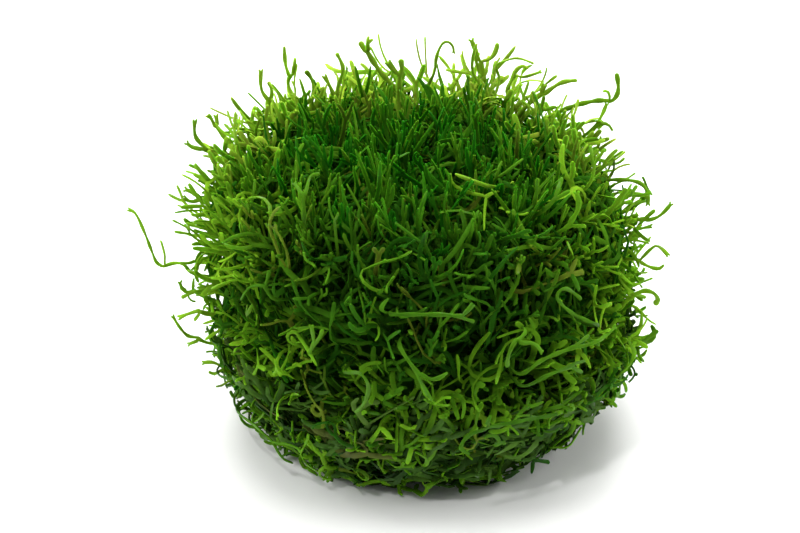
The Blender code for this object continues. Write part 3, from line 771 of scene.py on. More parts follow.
# How yellow-green plants are: shares of a region's own, of the sides, of low places and of the rim behind.
# The last three are painted light: lighter where light falls, and on the rim from behind.
OWN_LIME = 0.45
SIDE_PAINTED_LIGHT = 0.44
LOW_PAINTED_LIGHT = 0.52
RIM_PAINTED_BACKLIGHT = 0.58
OUTER_TIP_PAINTED_LIGHT = 0.12
LIME_BLUR = 0.12
OUTER_RADII = (18.0, 34.0)
LOW_HEIGHTS = (8.0, 27.0)
BEHIND_FROM = (3.0, 22.0)
RIM_HEIGHTS = (26.0, 40.0)
OUTER_TIPS = (-3.0, 1.5)


def greenness_and_painted_light(region, places, draws):
    """How yellow-green each plant is: more on the sides, low down and on the rim behind, as painted light.
    """
    radius = np.hypot(places[:, 0], places[:, 1])
    sideways = np.abs(places[:, 0]) / radius.clip(1.0)
    lift = smooth(radius, *OUTER_RADII)
    low = 1.0 - smooth(places[:, 2], *LOW_HEIGHTS)
    behind = smooth(places[:, 1], *BEHIND_FROM) * smooth(places[:, 2], *RIM_HEIGHTS)
    blend = region.lime * OWN_LIME + SIDE_PAINTED_LIGHT * sideways * lift + LOW_PAINTED_LIGHT * low * lift + RIM_PAINTED_BACKLIGHT * behind
    return blend + draws.normal(0.0, LIME_BLUR, len(places))


def thickets(crowd):
    """More places, several times as close as the others, where the growth stands tall."""
    places, outward = spread(THICKER * crowd)
    tall = swollen(places) > THICK_FROM * TALL
    return places[tall], outward[tall]


def grow_region(number, name):
    """One region's growth as one piece, its tips brought to the envelope."""
    region = REGIONS[name]
    low, high = region.edge
    both = zip(spread(region.crowd), thickets(region.crowd))
    places, outward = (np.concatenate(pair) for pair in both)
    mine = region_of(places, outward) == name
    places, outward = places[mine], outward[mine]
    draws = np.random.default_rng(REGION_SEED + number)
    twice = draws.random(len(places)) < region.twice
    builds = []
    for forks, chosen in ((2, twice), (1, ~twice)):
        at, out = places[chosen], outward[chosen]
        seed = SEED + 10 * number + forks
        rise = swollen(at)
        share = draws.random(len(at)) ** region.skew
        share += (1.0 - share) * FULLER * np.clip(rise / TALL, 0.0, 1.0)
        edge = low + (high - low) * share + TUFT_HEIGHT * tufts(at) + rise
        size = np.full(len(at), 1.0 if forks == 2 else ONCE_LONGER)
        for _ in range(FIT_ROUNDS):
            skin, depth = grown_once(seed, forks, region, at, out, size)
            size = np.clip(size * (depth + edge) / np.maximum(depth + reach_of(skin), 1.0), *SIZE_LIMITS)
        skin, depth = grown_once(seed, forks, region, at, out, size)
        kept = reach_of(skin, tips_only=False) < OVERSHOOT + np.maximum(rise, 0.0)
        # Painted light: plants whose tips reach the outline are made lighter.
        painted_outer_light = OUTER_TIP_PAINTED_LIGHT * smooth(edge, *OUTER_TIPS)
        lime = np.clip(greenness_and_painted_light(region, at, draws) + painted_outer_light, 0.0, 1.0)
        builds.append((skin, kept, draws.random(len(at)), lime))
    piece = skins_piece(f"{name}_growth", builds)
    counts = [f"{kept.sum()} of {len(kept)}" for _, kept, _, _ in builds]
    print(f"{name}: {' and '.join(counts)} plants, {triangles(piece)} triangles")
    return piece


growth = {name: grow_region(number, name) for number, name in enumerate(REGIONS)}

# %% [markdown]
# The skirt, the thatch and the underside
#
# Where the cup's wall and floor were, the straps couldn't grow outward, so they ran along it. Here the steer
# isn't a fixed direction: it goes round the clump, and corrects itself whenever the strap comes nearer to
# the wall, or gets further from it, than the depth at which that strap lies. The skirt is the old growth
# round the foot, and the curl is younger and lies among it. The thatch is the same thing some way further
# in: the old straps that are seen between the live ones, all the way over the dome.

# %% The skirt, the thatch and the underside
Layer = namedtuple("Layer", "habit crowd heights depths climb tilt limes young limit detail")
LAYERS = {
    "skirt": Layer(
        Habit((3.4, 5.6), (2.6, 4.6), (1.6, 4.4), (20, 44), 0.40, 0.12, 0.15, 0.3, (0.60, 1.15), 0.20),
        2700, (0.4, 11.0), (1.4, 4.6), (0.15, 0.50), 0.30, (0.05, 0.10), (0.0, 0.20), -0.3, COARSE),
    "curl": Layer(
        Habit((3.0, 5.2), (2.2, 4.4), (1.2, 4.0), (24, 46), 0.18, 0.26, 0.30, 0.4, (0.46, 0.88), 0.26),
        2700, (0.4, 14.0), (0.2, 4.0), (0.35, 0.75), 0.70, (0.60, 0.26), (0.1, 0.40), 0.5, FINE),
    "thatch": Layer(
        Habit((4.0, 6.0), (3.0, 5.0), (2.0, 4.4), (20, 44), 0.26, 0.10, 0.20, 0.4, (0.50, 0.95), 0.20),
        1100, (6.0, 49.4), (6.0, 9.4), (0.80, 0.60), 0.80, (0.10, 0.12), (0.0, 0.30), -2.5, COARSE),
}
LAYER_SEED = SEED + 21
LAYER_SCATTER = 0.8
LAYER_STRAY = 0.35
LAYER_FOOT = 0.6
CLIMBS = (-0.9, 1.5)
HOLD = 1.5
DOME_FROM = 30.0
DOME_SHARE = 1.6
DOME_DEEPER = 1.7
DOME_HEIGHTS = (32.0, 44.0)

BASE_HABIT = Habit((3.0, 5.0), (2.8, 4.8), (2.0, 4.4), (22, 40), 0.24, 0.10, 0.05, 0.4, (0.80, 1.25), 0.12)
BASE_SEED = SEED + 22
BASE_PLANTS = 240
BASE_REACH = 21.0
BASE_HEIGHTS = (0.35, 1.6)
BASE_STRAY = np.array([0.3, 0.3, 0.05])
BASE_LIMIT = -0.2
BASE_LIMES = (0.25, 0.2)
RIM_PULL = 2.0


def along_wall(sense, climb, depth):
    """A steer that goes round the wall in a sense, climbs, and holds its depth below the envelope.

    The way out is level on the wall and leans up over the dome, so that the climb there is towards the top.
    """

    def steer(place):
        around = leftward(unit(place * LEVEL))
        dome = DOME_SHARE * np.maximum(place[:, 2] - DOME_FROM, 0.0)
        out = unit(place * LEVEL + UP * column(dome))
        rising = unit(UP - out * dot(out, UP))
        back = np.clip(-depth - beyond(place), -HOLD, HOLD)
        level = around * column(sense * np.cos(climb))
        return unit(level + rising * column(np.sin(climb)) + out * column(back))

    return steer


def grow_layer(number, name):
    """One layer of straps that run along the cup's wall, between two heights."""
    layer = LAYERS[name]
    places, outward = spread(layer.crowd)
    low, high = layer.heights
    mine = (places[:, 2] > low) & (places[:, 2] < high)
    places, outward = places[mine], outward[mine]
    plants = len(places)
    draws = np.random.default_rng(LAYER_SEED + number)
    places = places + draws.normal(0.0, LAYER_SCATTER, (plants, 3))
    depth = draws.uniform(*layer.depths, plants) + DOME_DEEPER * smooth(places[:, 2], *DOME_HEIGHTS)
    sense = draws.choice([-1.0, 1.0], plants)
    climb = np.clip(draws.normal(*layer.climb, plants), *CLIMBS)
    width = draws.uniform(*layer.habit.width, plants)
    steer = along_wall(sense, climb, depth)
    foot = places - outward * column(depth)
    foot[:, 2] = np.maximum(foot[:, 2], LAYER_FOOT)
    way = unit(steer(foot) + draws.normal(size=(plants, 3)) * LAYER_STRAY)
    side = squared(np.cross(way, outward) + draws.normal(size=(plants, 3)) * layer.tilt, way)
    skin = Skin(plants, STRAP_CORNERS)
    ones = np.ones(plants)
    grow(skin, None, foot, way, side, 2, width, layer.habit, ones, draws, steer, layer.young, layer.detail)
    kept = reach_of(skin, tips_only=False) < layer.limit
    lime = np.clip(draws.normal(*layer.limes, plants), 0.0, 1.0)
    return skins_piece(f"{name}_growth", [(skin, kept, draws.random(plants), lime)])


def grow_base():
    """The straps that lie flat on the underside, at their own small height above the floor."""
    draws = np.random.default_rng(BASE_SEED)
    radius = BASE_REACH * np.sqrt((np.arange(BASE_PLANTS) + 0.5) / BASE_PLANTS)
    level = draws.uniform(*BASE_HEIGHTS, BASE_PLANTS)
    foot = turned(radius, golden_turns(BASE_PLANTS), level)
    heading = draws.uniform(0.0, 2.0 * math.pi, BASE_PLANTS)
    flat = turned(1.0, heading, 0.0 * heading)

    def steer(place):
        inward = -unit(place * LEVEL)
        rim = np.clip(np.hypot(place[:, 0], place[:, 1]) - BASE_REACH, 0.0, RIM_PULL)
        upright = UP * column(np.clip(level - place[:, 2], -1.0, 1.0))
        return unit(flat + inward * column(rim) + upright)

    way = unit(flat + draws.normal(size=(BASE_PLANTS, 3)) * BASE_STRAY)
    side = squared(np.cross(way, UP), way)
    width = draws.uniform(*BASE_HABIT.width, BASE_PLANTS)
    skin = Skin(BASE_PLANTS, STRAP_CORNERS)
    ones = np.ones(BASE_PLANTS)
    grow(skin, None, foot, way, side, 2, width, BASE_HABIT, ones, draws, steer, YOUNG_STEM, COARSE)
    kept = reach_of(skin, tips_only=False) < BASE_LIMIT
    tone = draws.random(BASE_PLANTS)
    lime = np.clip(draws.normal(*BASE_LIMES, BASE_PLANTS), 0.0, 1.0)
    return skins_piece("base_growth", [(skin, kept, tone, lime)])


growth |= {name: grow_layer(number, name) for number, name in enumerate(LAYERS)}
growth["base"] = grow_base()
for name in (*LAYERS, "base"):
    print(f"{name}: {triangles(growth[name])} triangles")

# %% [markdown]
# The stray thalli
#
# About fifty thalli stand clear of the rest, and give the clump its outline: each of them is a solid of its
# own in the frame. They are told as they are seen: how far across and up from the resting spot, and how
# deep. The same sight lines as the camera's then carry each point to its place. Here every stray becomes a
# smooth strap with rounded tips on a curve through its points, in the place of its plain solid.

# %% The stray thalli, as they are seen
Strap = namedtuple("Strap", "points forks")


def arm(*parts):
    """A stretch of thallus through points, and after them the two arms that it forks into, if it does."""
    points = tuple(part for part in parts if not isinstance(part, Strap))
    return Strap(points, parts[len(points):])


def rim(width, *parts, turn=0):
    """A stray of the rim: the depth of a point is how far it lies behind the strap's own foot."""
    return "rim", turn, width, arm(*parts)


def face(width, *parts, turn=0):
    """A stray over the mat's face: the depth of a point is how far it is lifted off the mat."""
    return "face", turn, width, arm(*parts)


# Each by its width in mm, its points as (across, up, depth) in mm, and its arms. One with a turn, in
# degrees about Z, is told as it would be seen from there.
STRAYS = {
    "left_1": rim(0.7, (-33.6, 19.2, 0), (-35.6, 20.8, -1), (-37.0, 21.0, -1), (-38.3, 20.6, -2),
        arm((-39.6, 21.1, -2), (-40.5, 23.2, -3), (-41.6, 26.0, -4), (-42.7, 28.3, -4), (-43.7, 29.0, -4)),
        arm((-38.4, 22.2, -2), (-38.9, 24.1, -2))),
    "left_2": rim(0.9, (-31.5, 17.0, 0), (-33.4, 16.8, -1), (-35.0, 16.5, -1),
        arm((-35.9, 17.3, -1), (-36.1, 18.0, -1)), arm((-35.9, 15.8, -1))),
    "left_3": rim(0.9, (-30.8, 13.3, 0), (-33.0, 13.7, -1), arm((-34.6, 13.5, -1), (-36.1, 12.9, -1)),
        arm((-34.0, 12.4, -1))),
    "left_4": rim(0.8, (-30.9, 9.0, 0), (-33.2, 9.6, -1),
        arm((-34.9, 10.1, -1), (-36.1, 11.3, -2), (-37.1, 12.9, -2)), arm((-34.7, 8.9, -1))),
    "left_5": rim(0.8, (-28.4, 4.7, 0), (-29.7, 5.2, -1), arm((-31.1, 6.1, -1), (-32.5, 6.1, -1)),
        arm((-31.0, 4.4, -1), (-31.8, 4.8, -1))),
    "left_6": rim(0.9, (-29.8, 36.5, 0), (-32.6, 38.2, -1), arm((-33.8, 40.0, -1), (-33.9, 42.2, -1)),
        arm((-34.3, 38.4, -1), (-35.0, 38.9, -1))),
    "left_7": rim(0.9, (-31.3, 30.4, 0), (-33.2, 30.7, -1), arm((-34.3, 31.6, -1), (-35.2, 32.0, -1)),
        arm((-34.4, 30.2, -1), (-35.4, 30.7, -1))),
    "crown_1": rim(0.8, (-27.6, 38.0, 0), (-29.2, 39.6, 0), (-30.6, 41.4, 0),
        arm((-31.4, 42.6, 0), (-31.9, 43.1, -1)), arm((-30.7, 43.0, 0))),
    "crown_2": rim(0.8, (-22.0, 43.2, 0), (-22.7, 45.4, 0), arm((-23.9, 47.0, 0), (-24.0, 49.7, 0)),
        arm((-22.4, 46.9, 0), (-22.9, 48.2, 0))),
    "crown_3": rim(0.8, (-19.4, 46.4, 0), (-19.6, 49.0, 0), arm((-20.3, 50.8, 0), (-20.5, 53.5, 0)),
        arm((-19.0, 50.4, -1), (-18.9, 51.8, -1))),
    "crown_4": rim(0.8, (-16.2, 44.4, 0), (-16.0, 47.0, 0), (-16.4, 48.6, 0), (-17.3, 49.8, -1)),
    "crown_5": rim(0.8, (-12.4, 44.6, 0), (-12.8, 46.0, 0), arm((-13.6, 47.4, 0), (-14.4, 48.9, 0)),
        arm((-12.4, 47.6, 0), (-11.7, 49.9, 0), (-12.0, 51.2, 0), (-12.7, 52.5, 0))),
    "crown_6": rim(1.0, (-2.2, 45.2, 0), (-4.6, 48.0, 0), (-6.4, 50.1, 0), (-8.0, 52.6, 0),
        arm((-8.8, 53.6, 0), (-9.2, 54.2, 0)), arm((-8.0, 53.8, -1), (-7.8, 54.4, -1))),
    "crown_7": rim(1.0, (-3.4, 44.9, -2), (-3.3, 47.2, -2), (-3.2, 49.2, -2),
        arm((-4.2, 50.1, -2), (-4.8, 50.9, -2)), arm((-2.9, 50.6, -2), (-3.1, 51.6, -2))),
    "crown_8": rim(0.6, (0.9, 46.9, 0), (2.0, 49.6, 0), (2.3, 51.8, 0), (3.0, 53.6, 0), (3.9, 54.2, -1),
        (4.7, 53.6, -1), (4.9, 52.7, -1)),
    "crown_9": rim(0.9, (9.9, 46.4, 0), (9.2, 49.6, 0), (9.0, 51.2, 0), arm((8.3, 52.6, 0), (7.6, 54.3, 0)),
        arm((10.4, 51.7, 0), (11.1, 52.6, 0), (11.5, 54.0, 0))),
    "crown_10": rim(0.5, (11.6, 47.8, 0), (11.3, 50.4, 0), (12.6, 51.3, -1), (14.5, 51.7, -1),
        (16.9, 50.9, -2)),
    "crown_11": rim(0.8, (13.0, 44.4, 0), (13.0, 47.0, 0), (14.0, 49.2, 0),
        arm((15.0, 50.5, 0), (16.1, 50.1, 0)), arm((15.4, 48.9, -1), (17.7, 49.6, -1))),
    "crown_12": rim(0.9, (14.6, 43.0, 0), (16.4, 45.1, 0), (18.0, 46.3, 0), arm((18.4, 47.5, 0)),
        arm((19.6, 47.2, 0), (21.2, 48.1, 0), (23.4, 48.4, -1))),
    "right_1": rim(1.0, (19.6, 42.8, 0), (22.5, 44.4, -1), (26.0, 45.3, -2), (28.3, 45.3, -3),
        arm((28.0, 46.7, -3), (27.2, 46.7, -3)), arm((29.5, 46.6, -3), (29.3, 49.5, -3))),
    "right_2": rim(0.8, (23.4, 39.3, 0), (25.4, 40.8, 0), (26.7, 42.0, 0),
        arm((27.3, 43.6, 1), (27.8, 44.8, 2)), arm((28.0, 41.8, 0), (28.7, 40.8, 0))),
    "right_3": rim(0.8, (25.6, 36.4, 0), (28.0, 36.0, 0), arm((29.2, 37.1, 0), (30.3, 37.8, 0)),
        arm((29.5, 36.0, -1), (30.5, 36.8, -1))),
    "right_4": rim(0.8, (27.2, 33.2, 0), (30.0, 33.5, 0), (32.6, 33.1, 0), (33.8, 31.9, -1),
        (34.0, 29.9, -1)),
    "right_5": rim(1.1, (26.6, 27.6, 0), (28.8, 29.4, -1), (30.8, 32.2, -2)),
    "right_6": rim(0.8, (29.9, 27.2, 0), (33.6, 27.6, 0), arm((35.1, 29.0, 0)),
        arm((35.6, 28.0, 0), (37.4, 29.8, 0))),
    "right_7": rim(0.8, (31.0, 21.6, 0), (32.8, 21.4, 0),
        arm((34.2, 22.9, 0), (35.4, 23.6, 0), (36.9, 22.3, -1)),
        arm((34.4, 20.4, 0), (35.7, 20.2, 0), (36.4, 20.8, 0))),
    "right_8": rim(1.0, (29.4, 14.2, 0), (31.2, 15.8, -1), (33.2, 16.8, -2), (34.7, 16.6, -3),
        (35.5, 15.6, -3), (34.9, 14.8, -3)),
    "right_9": rim(0.6, (30.4, 6.6, 0), (32.2, 6.7, 0), (33.3, 7.3, 0), (33.8, 8.0, -1)),
    "front_1": face(1.0, (-17.1, 23.6, 2), (-17.5, 28.0, 5), (-17.6, 31.2, 7),
        arm((-16.6, 33.9, 7), (-15.2, 34.3, 7)), arm((-18.9, 32.9, 7))),
    "front_2": face(1.0, (-4.6, 13.4, 3), (-1.4, 13.3, 4), (3.0, 13.3, 5), (6.2, 13.0, 5),
        arm((7.6, 14.6, 5)), arm((8.0, 12.2, 5))),
    "front_3": face(0.9, (-11.6, 4.8, 2), (-9.2, 4.5, 4), (-7.9, 2.6, 4), (-8.4, 0.2, 4), (-9.8, -1.4, 3)),
    "front_4": face(1.1, (14.8, 4.4, 2), (18.4, 6.6, 3), (23.4, 8.6, 4), arm((25.2, 10.2, 4)),
        arm((26.6, 9.4, 5), (29.0, 11.4, 5))),
    "front_5": face(1.0, (15.2, 2.6, 2), (19.0, 4.2, 3), (22.6, 5.6, 3), arm((24.6, 6.4, 3)),
        arm((24.2, 4.6, 3))),
    "front_6": face(0.9, (26.6, 11.6, 3), (22.8, 13.4, 4), (20.4, 15.8, 5), (21.6, 17.2, 5),
        (24.0, 15.6, 4)),
    "front_7": face(1.2, (21.6, -1.0, 2), (15.6, -2.5, 4), (9.9, -3.6, 5), arm((10.4, -1.8, 5)),
        arm((7.2, -4.8, 5), (6.0, -6.6, 5), (7.2, -7.6, 4))),
    "front_8": face(1.1, (-27.6, -0.6, 2), (-24.6, -3.6, 3), (-22.2, -5.8, 3),
        arm((-20.9, -8.0, 3), (-19.6, -8.8, 2)), arm((-19.8, -6.2, 3), (-18.0, -7.0, 3))),
    "front_9": face(1.0, (-3.2, 8.6, 3), (-0.4, 4.4, 4), arm((0.4, 2.4, 4), (1.6, 0.4, 4)),
        arm((1.8, 3.6, 4), (4.0, 4.6, 5))),
    "front_10": face(1.1, (-16.6, 7.2, 2), (-15.9, 9.2, 3), arm((-16.4, 11.4, 4)), arm((-14.7, 11.0, 4))),
    "front_11": face(1.1, (15.6, 11.0, 2), (14.4, 9.4, 4), arm((13.2, 7.4, 4), (12.9, 5.4, 4)),
        arm((16.8, 9.0, 4), (18.0, 7.8, 4))),
    "front_12": face(1.0, (-21.8, 15.6, 2), (-23.4, 17.6, 4), arm((-22.7, 19.9, 4)),
        arm((-25.6, 17.4, 4), (-27.0, 15.4, 4))),
    "back_1": rim(0.9, (22.6, 36.0, 0), (24.6, 38.8, 0), arm((26.6, 40.0, 0), (28.4, 39.6, -1)),
        arm((24.8, 41.4, 0)), turn=118),
    "back_2": rim(1.0, (-24.4, 36.4, 0), (-27.2, 38.6, 0), arm((-29.6, 39.0, 0)),
        arm((-28.4, 41.2, 0), (-28.2, 43.2, 0)), turn=150),
    "back_3": rim(0.9, (-31.0, 18.6, 0), (-33.2, 20.4, 0), arm((-34.8, 22.6, 0)), arm((-35.4, 19.8, -1)),
        turn=180),
    "back_4": face(1.1, (-8.6, 12.0, 2), (-6.2, 8.6, 4), (-3.4, 6.6, 5), arm((-1.4, 7.6, 5)),
        arm((-1.8, 4.8, 4), (-0.4, 3.0, 4)), turn=180),
    "back_5": face(1.2, (6.8, 20.4, 2), (10.4, 22.4, 4), (14.0, 21.4, 5), arm((16.2, 22.6, 5)),
        arm((15.4, 18.8, 4)), turn=205),
    "back_6": rim(0.9, (-17.6, 43.6, 0), (-18.6, 46.6, 0), arm((-20.2, 48.4, 0)), arm((-17.9, 49.4, 0)),
        turn=205),
    "back_7": face(1.2, (-20.0, 2.4, 2), (-17.2, -0.6, 3), (-13.4, -2.4, 4), arm((-11.2, -1.0, 4)),
        arm((-11.4, -4.4, 4), (-9.2, -5.4, 3)), turn=160),
    "back_8": rim(0.9, (-29.4, 30.2, 0), (-31.6, 32.2, 0), arm((-33.6, 33.2, 0), (-34.4, 35.0, 0)),
        arm((-33.6, 31.0, 0)), turn=235),
    "back_9": face(1.1, (-6.4, 6.8, 2), (-9.8, 9.2, 4), (-12.4, 12.4, 5), arm((-14.8, 13.4, 5)),
        arm((-12.2, 15.2, 5)), turn=120),
    "back_10": face(1.1, (8.2, 4.2, 2), (5.2, 7.2, 4), (4.6, 10.6, 5), arm((2.6, 12.4, 5)),
        arm((6.0, 13.0, 5)), turn=240),
    "back_11": rim(0.8, (29.8, 12.0, 0), (32.2, 12.6, -1), arm((34.2, 14.2, -1)), arm((34.0, 11.2, -1)),
        turn=90),
    "back_12": rim(0.8, (-29.6, 14.6, 0), (-32.2, 15.8, -1), arm((-34.4, 17.6, -1)), arm((-34.6, 14.8, -1)),
        turn=270),
}
print("strays:", len(STRAYS))

# %% [markdown]
# Where a sight line meets the mat
#
# A stray's foot is found by going along the sight line until it comes to the solid mat, whose outline is a
# quarter sine wave below the belly and a quarter superellipse above it. Again all the depths that come into
# question are worked out as one array, and the first that is near enough wins.

# %% From seen points to places
BASE_RADIUS = 24.0
BELLY_RADIUS = 30.4
BELLY_HEIGHT = 21.0
CROWN_HEIGHT = 44.6
DOME_FULLNESS = 2.5
SKIRT_RINGS = 5
DOME_RINGS = 8
FOOT_DEPTH = 3.2
ROOT_REACH = 40.0
LOWEST_STRAP = 0.8


def mat_outline():
    """(radius, height) of the solid mat's rings, from the resting spot to the crown."""
    share = np.arange(SKIRT_RINGS) / SKIRT_RINGS
    swell = (BELLY_RADIUS - BASE_RADIUS) * np.sin(math.pi / 2.0 * share)
    skirt = np.stack([BASE_RADIUS + swell, BELLY_HEIGHT * share], -1)
    angle = math.pi / 2.0 * np.arange(DOME_RINGS + 1) / DOME_RINGS
    power = 2.0 / DOME_FULLNESS
    rise = (CROWN_HEIGHT - BELLY_HEIGHT) * np.sin(angle) ** power
    dome = np.stack([BELLY_RADIUS * np.clip(np.cos(angle), 0.0, 1.0) ** power, BELLY_HEIGHT + rise], -1)
    return np.concatenate([skirt, dome])


MAT_OUTLINE = mat_outline()


def depth_at(across, up, lift):
    """Y of the place where a sight line first comes this near to the mat, or passes nearest to it."""
    gaps = gap_from(MAT_OUTLINE, sighted(across, up, DEPTHS))
    near = gaps <= lift
    return DEPTHS[np.argmax(near)] if near.any() else DEPTHS[np.argmin(gaps)]


def in_space(seen, manner, foot_deep, turn):
    """The strap with its seen points made places, no lower than leaves it clear of the floor."""
    places = []
    for across, up, depth in seen.points:
        deep = depth_at(across, up, depth) if manner == "face" else foot_deep + depth
        place = sighted(across, up, np.array([float(deep)]))[0]
        place[2] = max(place[2], LOWEST_STRAP)
        places.append(turn @ place)
    forks = tuple(in_space(fork, manner, foot_deep, turn) for fork in seen.forks)
    return Strap(places, forks)


def rooted(strap):
    """The strap with its foot carried on into the mat, towards the heart of the clump."""
    foot = strap.points[0]
    steps = np.arange(0.0, ROOT_REACH, SIGHT_STEP)
    line = foot + unit(HEART - foot) * steps[:, None]
    root = line[np.argmax(gap_from(MAT_OUTLINE, line) <= -FOOT_DEPTH)]
    return Strap([root, *strap.points], strap.forks)


print("the mat is", 2.0 * MAT_OUTLINE[:, 0].max(), "mm across and", MAT_OUTLINE[:, 1].max(), "mm high")

# %% [markdown]
# A smooth strap through its points
#
# The points are joined by a curve whose slope at each one is that of its neighbours, and rings are set on
# it at even steps. The flat side is carried from ring to ring, so the strap never flips. A tip ends round,
# or in a notch where the next fork has only begun: then the last ring parts into two little lobes.

# %% Strays as smooth straps
STRAY_CORNERS = 8
STRAY_STEP = 0.45
STRAY_THICKNESS = 0.34
STRAY_EDGE = 1.25
STRAY_SEED = SEED + 300
STRAY_YOUNG = (0.1, 0.6)
STRAY_TONES = (0.2, 0.8)
# Partly painted light: the crown's and flanks' strays are made lighter as backlight and side light.
STRAY_LIMES_WITH_PAINTED_LIGHT = {"left": 0.90, "right": 0.85, "crown": 0.90, "front": 0.34, "back": 0.55}
STRAY_LIME_BLUR = (-0.16, 0.10)
SLIMMER = {"left": 0.72, "right": 0.72, "crown": 0.80, "front": 0.54, "back": 0.70}
UNEVEN = 0.20
UNEVEN_WAVES = (1.2, 2.6)
UNEVEN_PHASES = (0.0, 6.0)
CURVE_PARTS = 16
SLOPE_REACH = 0.08
# Rings of a round tip as (how far before the end, how wide), and of a lobe as (how far along it, how wide)
ROUNDING = ((0.46, 0.98), (0.22, 0.84), (0.07, 0.56), (0.0, 0.26))
ROUND_REACH = 0.7
LOBE_STOPS = ((0.26, 0.54), (0.46, 0.50), (0.58, 0.34), (0.62, 0.16))
LOBE_SPLAY = (12.0, 26.0)
LOBE_NOTCH = 0.16
LOBE_EDGE = 1.6
NOTCH_CHANCE = 0.40
ARM_AHEAD = 0.35
ARM_ASIDE = 0.25
ONE = np.ones(1)


def curve_through(points, ahead):
    """A cubic curve through points: slopes are half of the step from the point before to the one after.

    The first slope is along ahead. It gives places at even steps, and their distances from the start.
    """
    points = np.array(points)
    steps = np.diff(points, axis=0)
    slopes = np.empty_like(points)
    slopes[1:-1] = (steps[1:] + steps[:-1]) / 2.0
    slopes[0] = ahead * np.linalg.norm(steps[0])
    slopes[-1] = steps[-1] * 1.5 - slopes[-2] / 2.0 if len(points) > 2 else steps[-1]
    t = np.linspace(0.0, 1.0, CURVE_PARTS, endpoint=False)[:, None]
    spans = []
    for index, step in enumerate(steps):
        start, end = points[index], points[index + 1]
        spans.append(start * (2 * t**3 - 3 * t**2 + 1) + end * (3 * t**2 - 2 * t**3)
                     + slopes[index] * (t**3 - 2 * t**2 + t) + slopes[index + 1] * (t**3 - t**2))
    fine = np.concatenate([*spans, points[-1:]])
    return fine, np.concatenate([[0.0], np.cumsum(np.linalg.norm(np.diff(fine, axis=0), axis=-1))])


def at_distance(fine, distances, stops):
    """Places and ways of a fine curve at these distances from its start."""
    places, ahead, behind = (
        np.stack([np.interp(stops + shift, distances, fine[:, axis]) for axis in range(3)], -1)
        for shift in (0.0, SLOPE_REACH, -SLOPE_REACH))
    return places, unit(ahead - behind)


def carry(skin, ring, places, ways, side, widths, thicks, ages):
    """Carries a ring through places, its side squared to each way, and gives the last ring, way and side."""
    for place, way, width, thick, age in zip(places, ways, widths, thicks, ages):
        side = squared(side, way[None])
        following = skin.ring(place[None], way[None], side, width * ONE, thick * ONE, age)
        skin.band(ring, following)
        ring = following
    return ring, way, side


def lobes(skin, ring, place, way, side, width, draws):
    """A notched tip: the last ring parts into two short round lobes."""
    stops, shares = np.array(LOBE_STOPS).T
    thicks = STRAY_THICKNESS * np.minimum(1.0, LOBE_EDGE * shares)
    notch = skin.saddle(place[None], way[None], side, LOBE_NOTCH * width * ONE, STRAY_THICKNESS * ONE, 1.0)
    for sign, lobe in zip((-1.0, 1.0), skin.part(ring, notch)):
        splay = math.radians(draws.uniform(*LOBE_SPLAY))
        ahead = unit(way * math.cos(splay) + side[0] * (sign * math.sin(splay)))
        foot = place + side[0] * (sign * width / 4.0)
        places = foot + ahead * (stops * width)[:, None]
        ways = np.tile(ahead, (len(stops), 1))
        last, _, _ = carry(skin, lobe, places, ways, side, width * shares, thicks, [1.0] * len(stops))
        skin.close(last)


def grow_stray(skin, ring, points, ahead, forks, side, width, young, draws):
    """One stretch of a stray along its curve, and then its arms, or its round or notched tip."""
    fine, distances = curve_through(points, ahead)
    length = distances[-1]
    first = 0.0 if ring is None else 0.5 * width
    count = max(2, int((length - first) / STRAY_STEP))
    notched = not forks and draws.random() < NOTCH_CHANCE
    if forks or notched:
        stops = np.linspace(first, length, count)
        widths = np.full(count, width)
        widths[-1] *= FLARE
        widths[-2] *= (1.0 + FLARE) / 2.0
    else:
        body = np.linspace(first, length - ROUND_REACH * width, count)
        stops = np.concatenate([body, [length - share * width for share, _ in ROUNDING]])
        widths = width * np.concatenate([np.ones(count), [share for _, share in ROUNDING]])
    waves = np.sin(stops * draws.uniform(*UNEVEN_WAVES) + draws.uniform(*UNEVEN_PHASES))
    widths = widths * (1.0 + UNEVEN * waves)
    thicks = STRAY_THICKNESS * np.minimum(1.0, STRAY_EDGE * widths / width)
    ages = young[0] + (young[1] - young[0]) * stops / length
    places, ways = at_distance(fine, distances, stops)
    if ring is None:
        side = squared(side, ways[:1])
        ring = skin.ring(places[:1], ways[:1], side, widths[0] * ONE, thicks[0] * ONE, ages[0])
        skin.close(ring[::-1])
        places, ways, widths, thicks, ages = (rows[1:] for rows in (places, ways, widths, thicks, ages))
    ring, way, side = carry(skin, ring, places, ways, side, widths, thicks, ages)
    end = places[-1]
    if notched:
        lobes(skin, ring, end, way, side, width * FLARE, draws)
        return
    if not forks:
        skin.close(ring)
        return
    notch = skin.saddle(end[None], way[None], side, FORK_REACH * width * ONE, thicks[-1] * ONE, young[1])
    ordered = sorted(forks, key=lambda fork: float((fork.points[0] - end) @ side[0]))
    for sign, fork, arm_ring in zip((-1.0, 1.0), ordered, skin.part(ring, notch)):
        foot = end + side[0] * (sign * width / 4.0)
        out = unit(fork.points[0] - foot)
        lead = unit(out + way * ARM_AHEAD + side[0] * sign * ARM_ASIDE)
        grow_stray(skin, arm_ring, [foot, *fork.points], lead, fork.forks, side, width * ARM_SHARE,
                   (young[1], 1.0), draws)


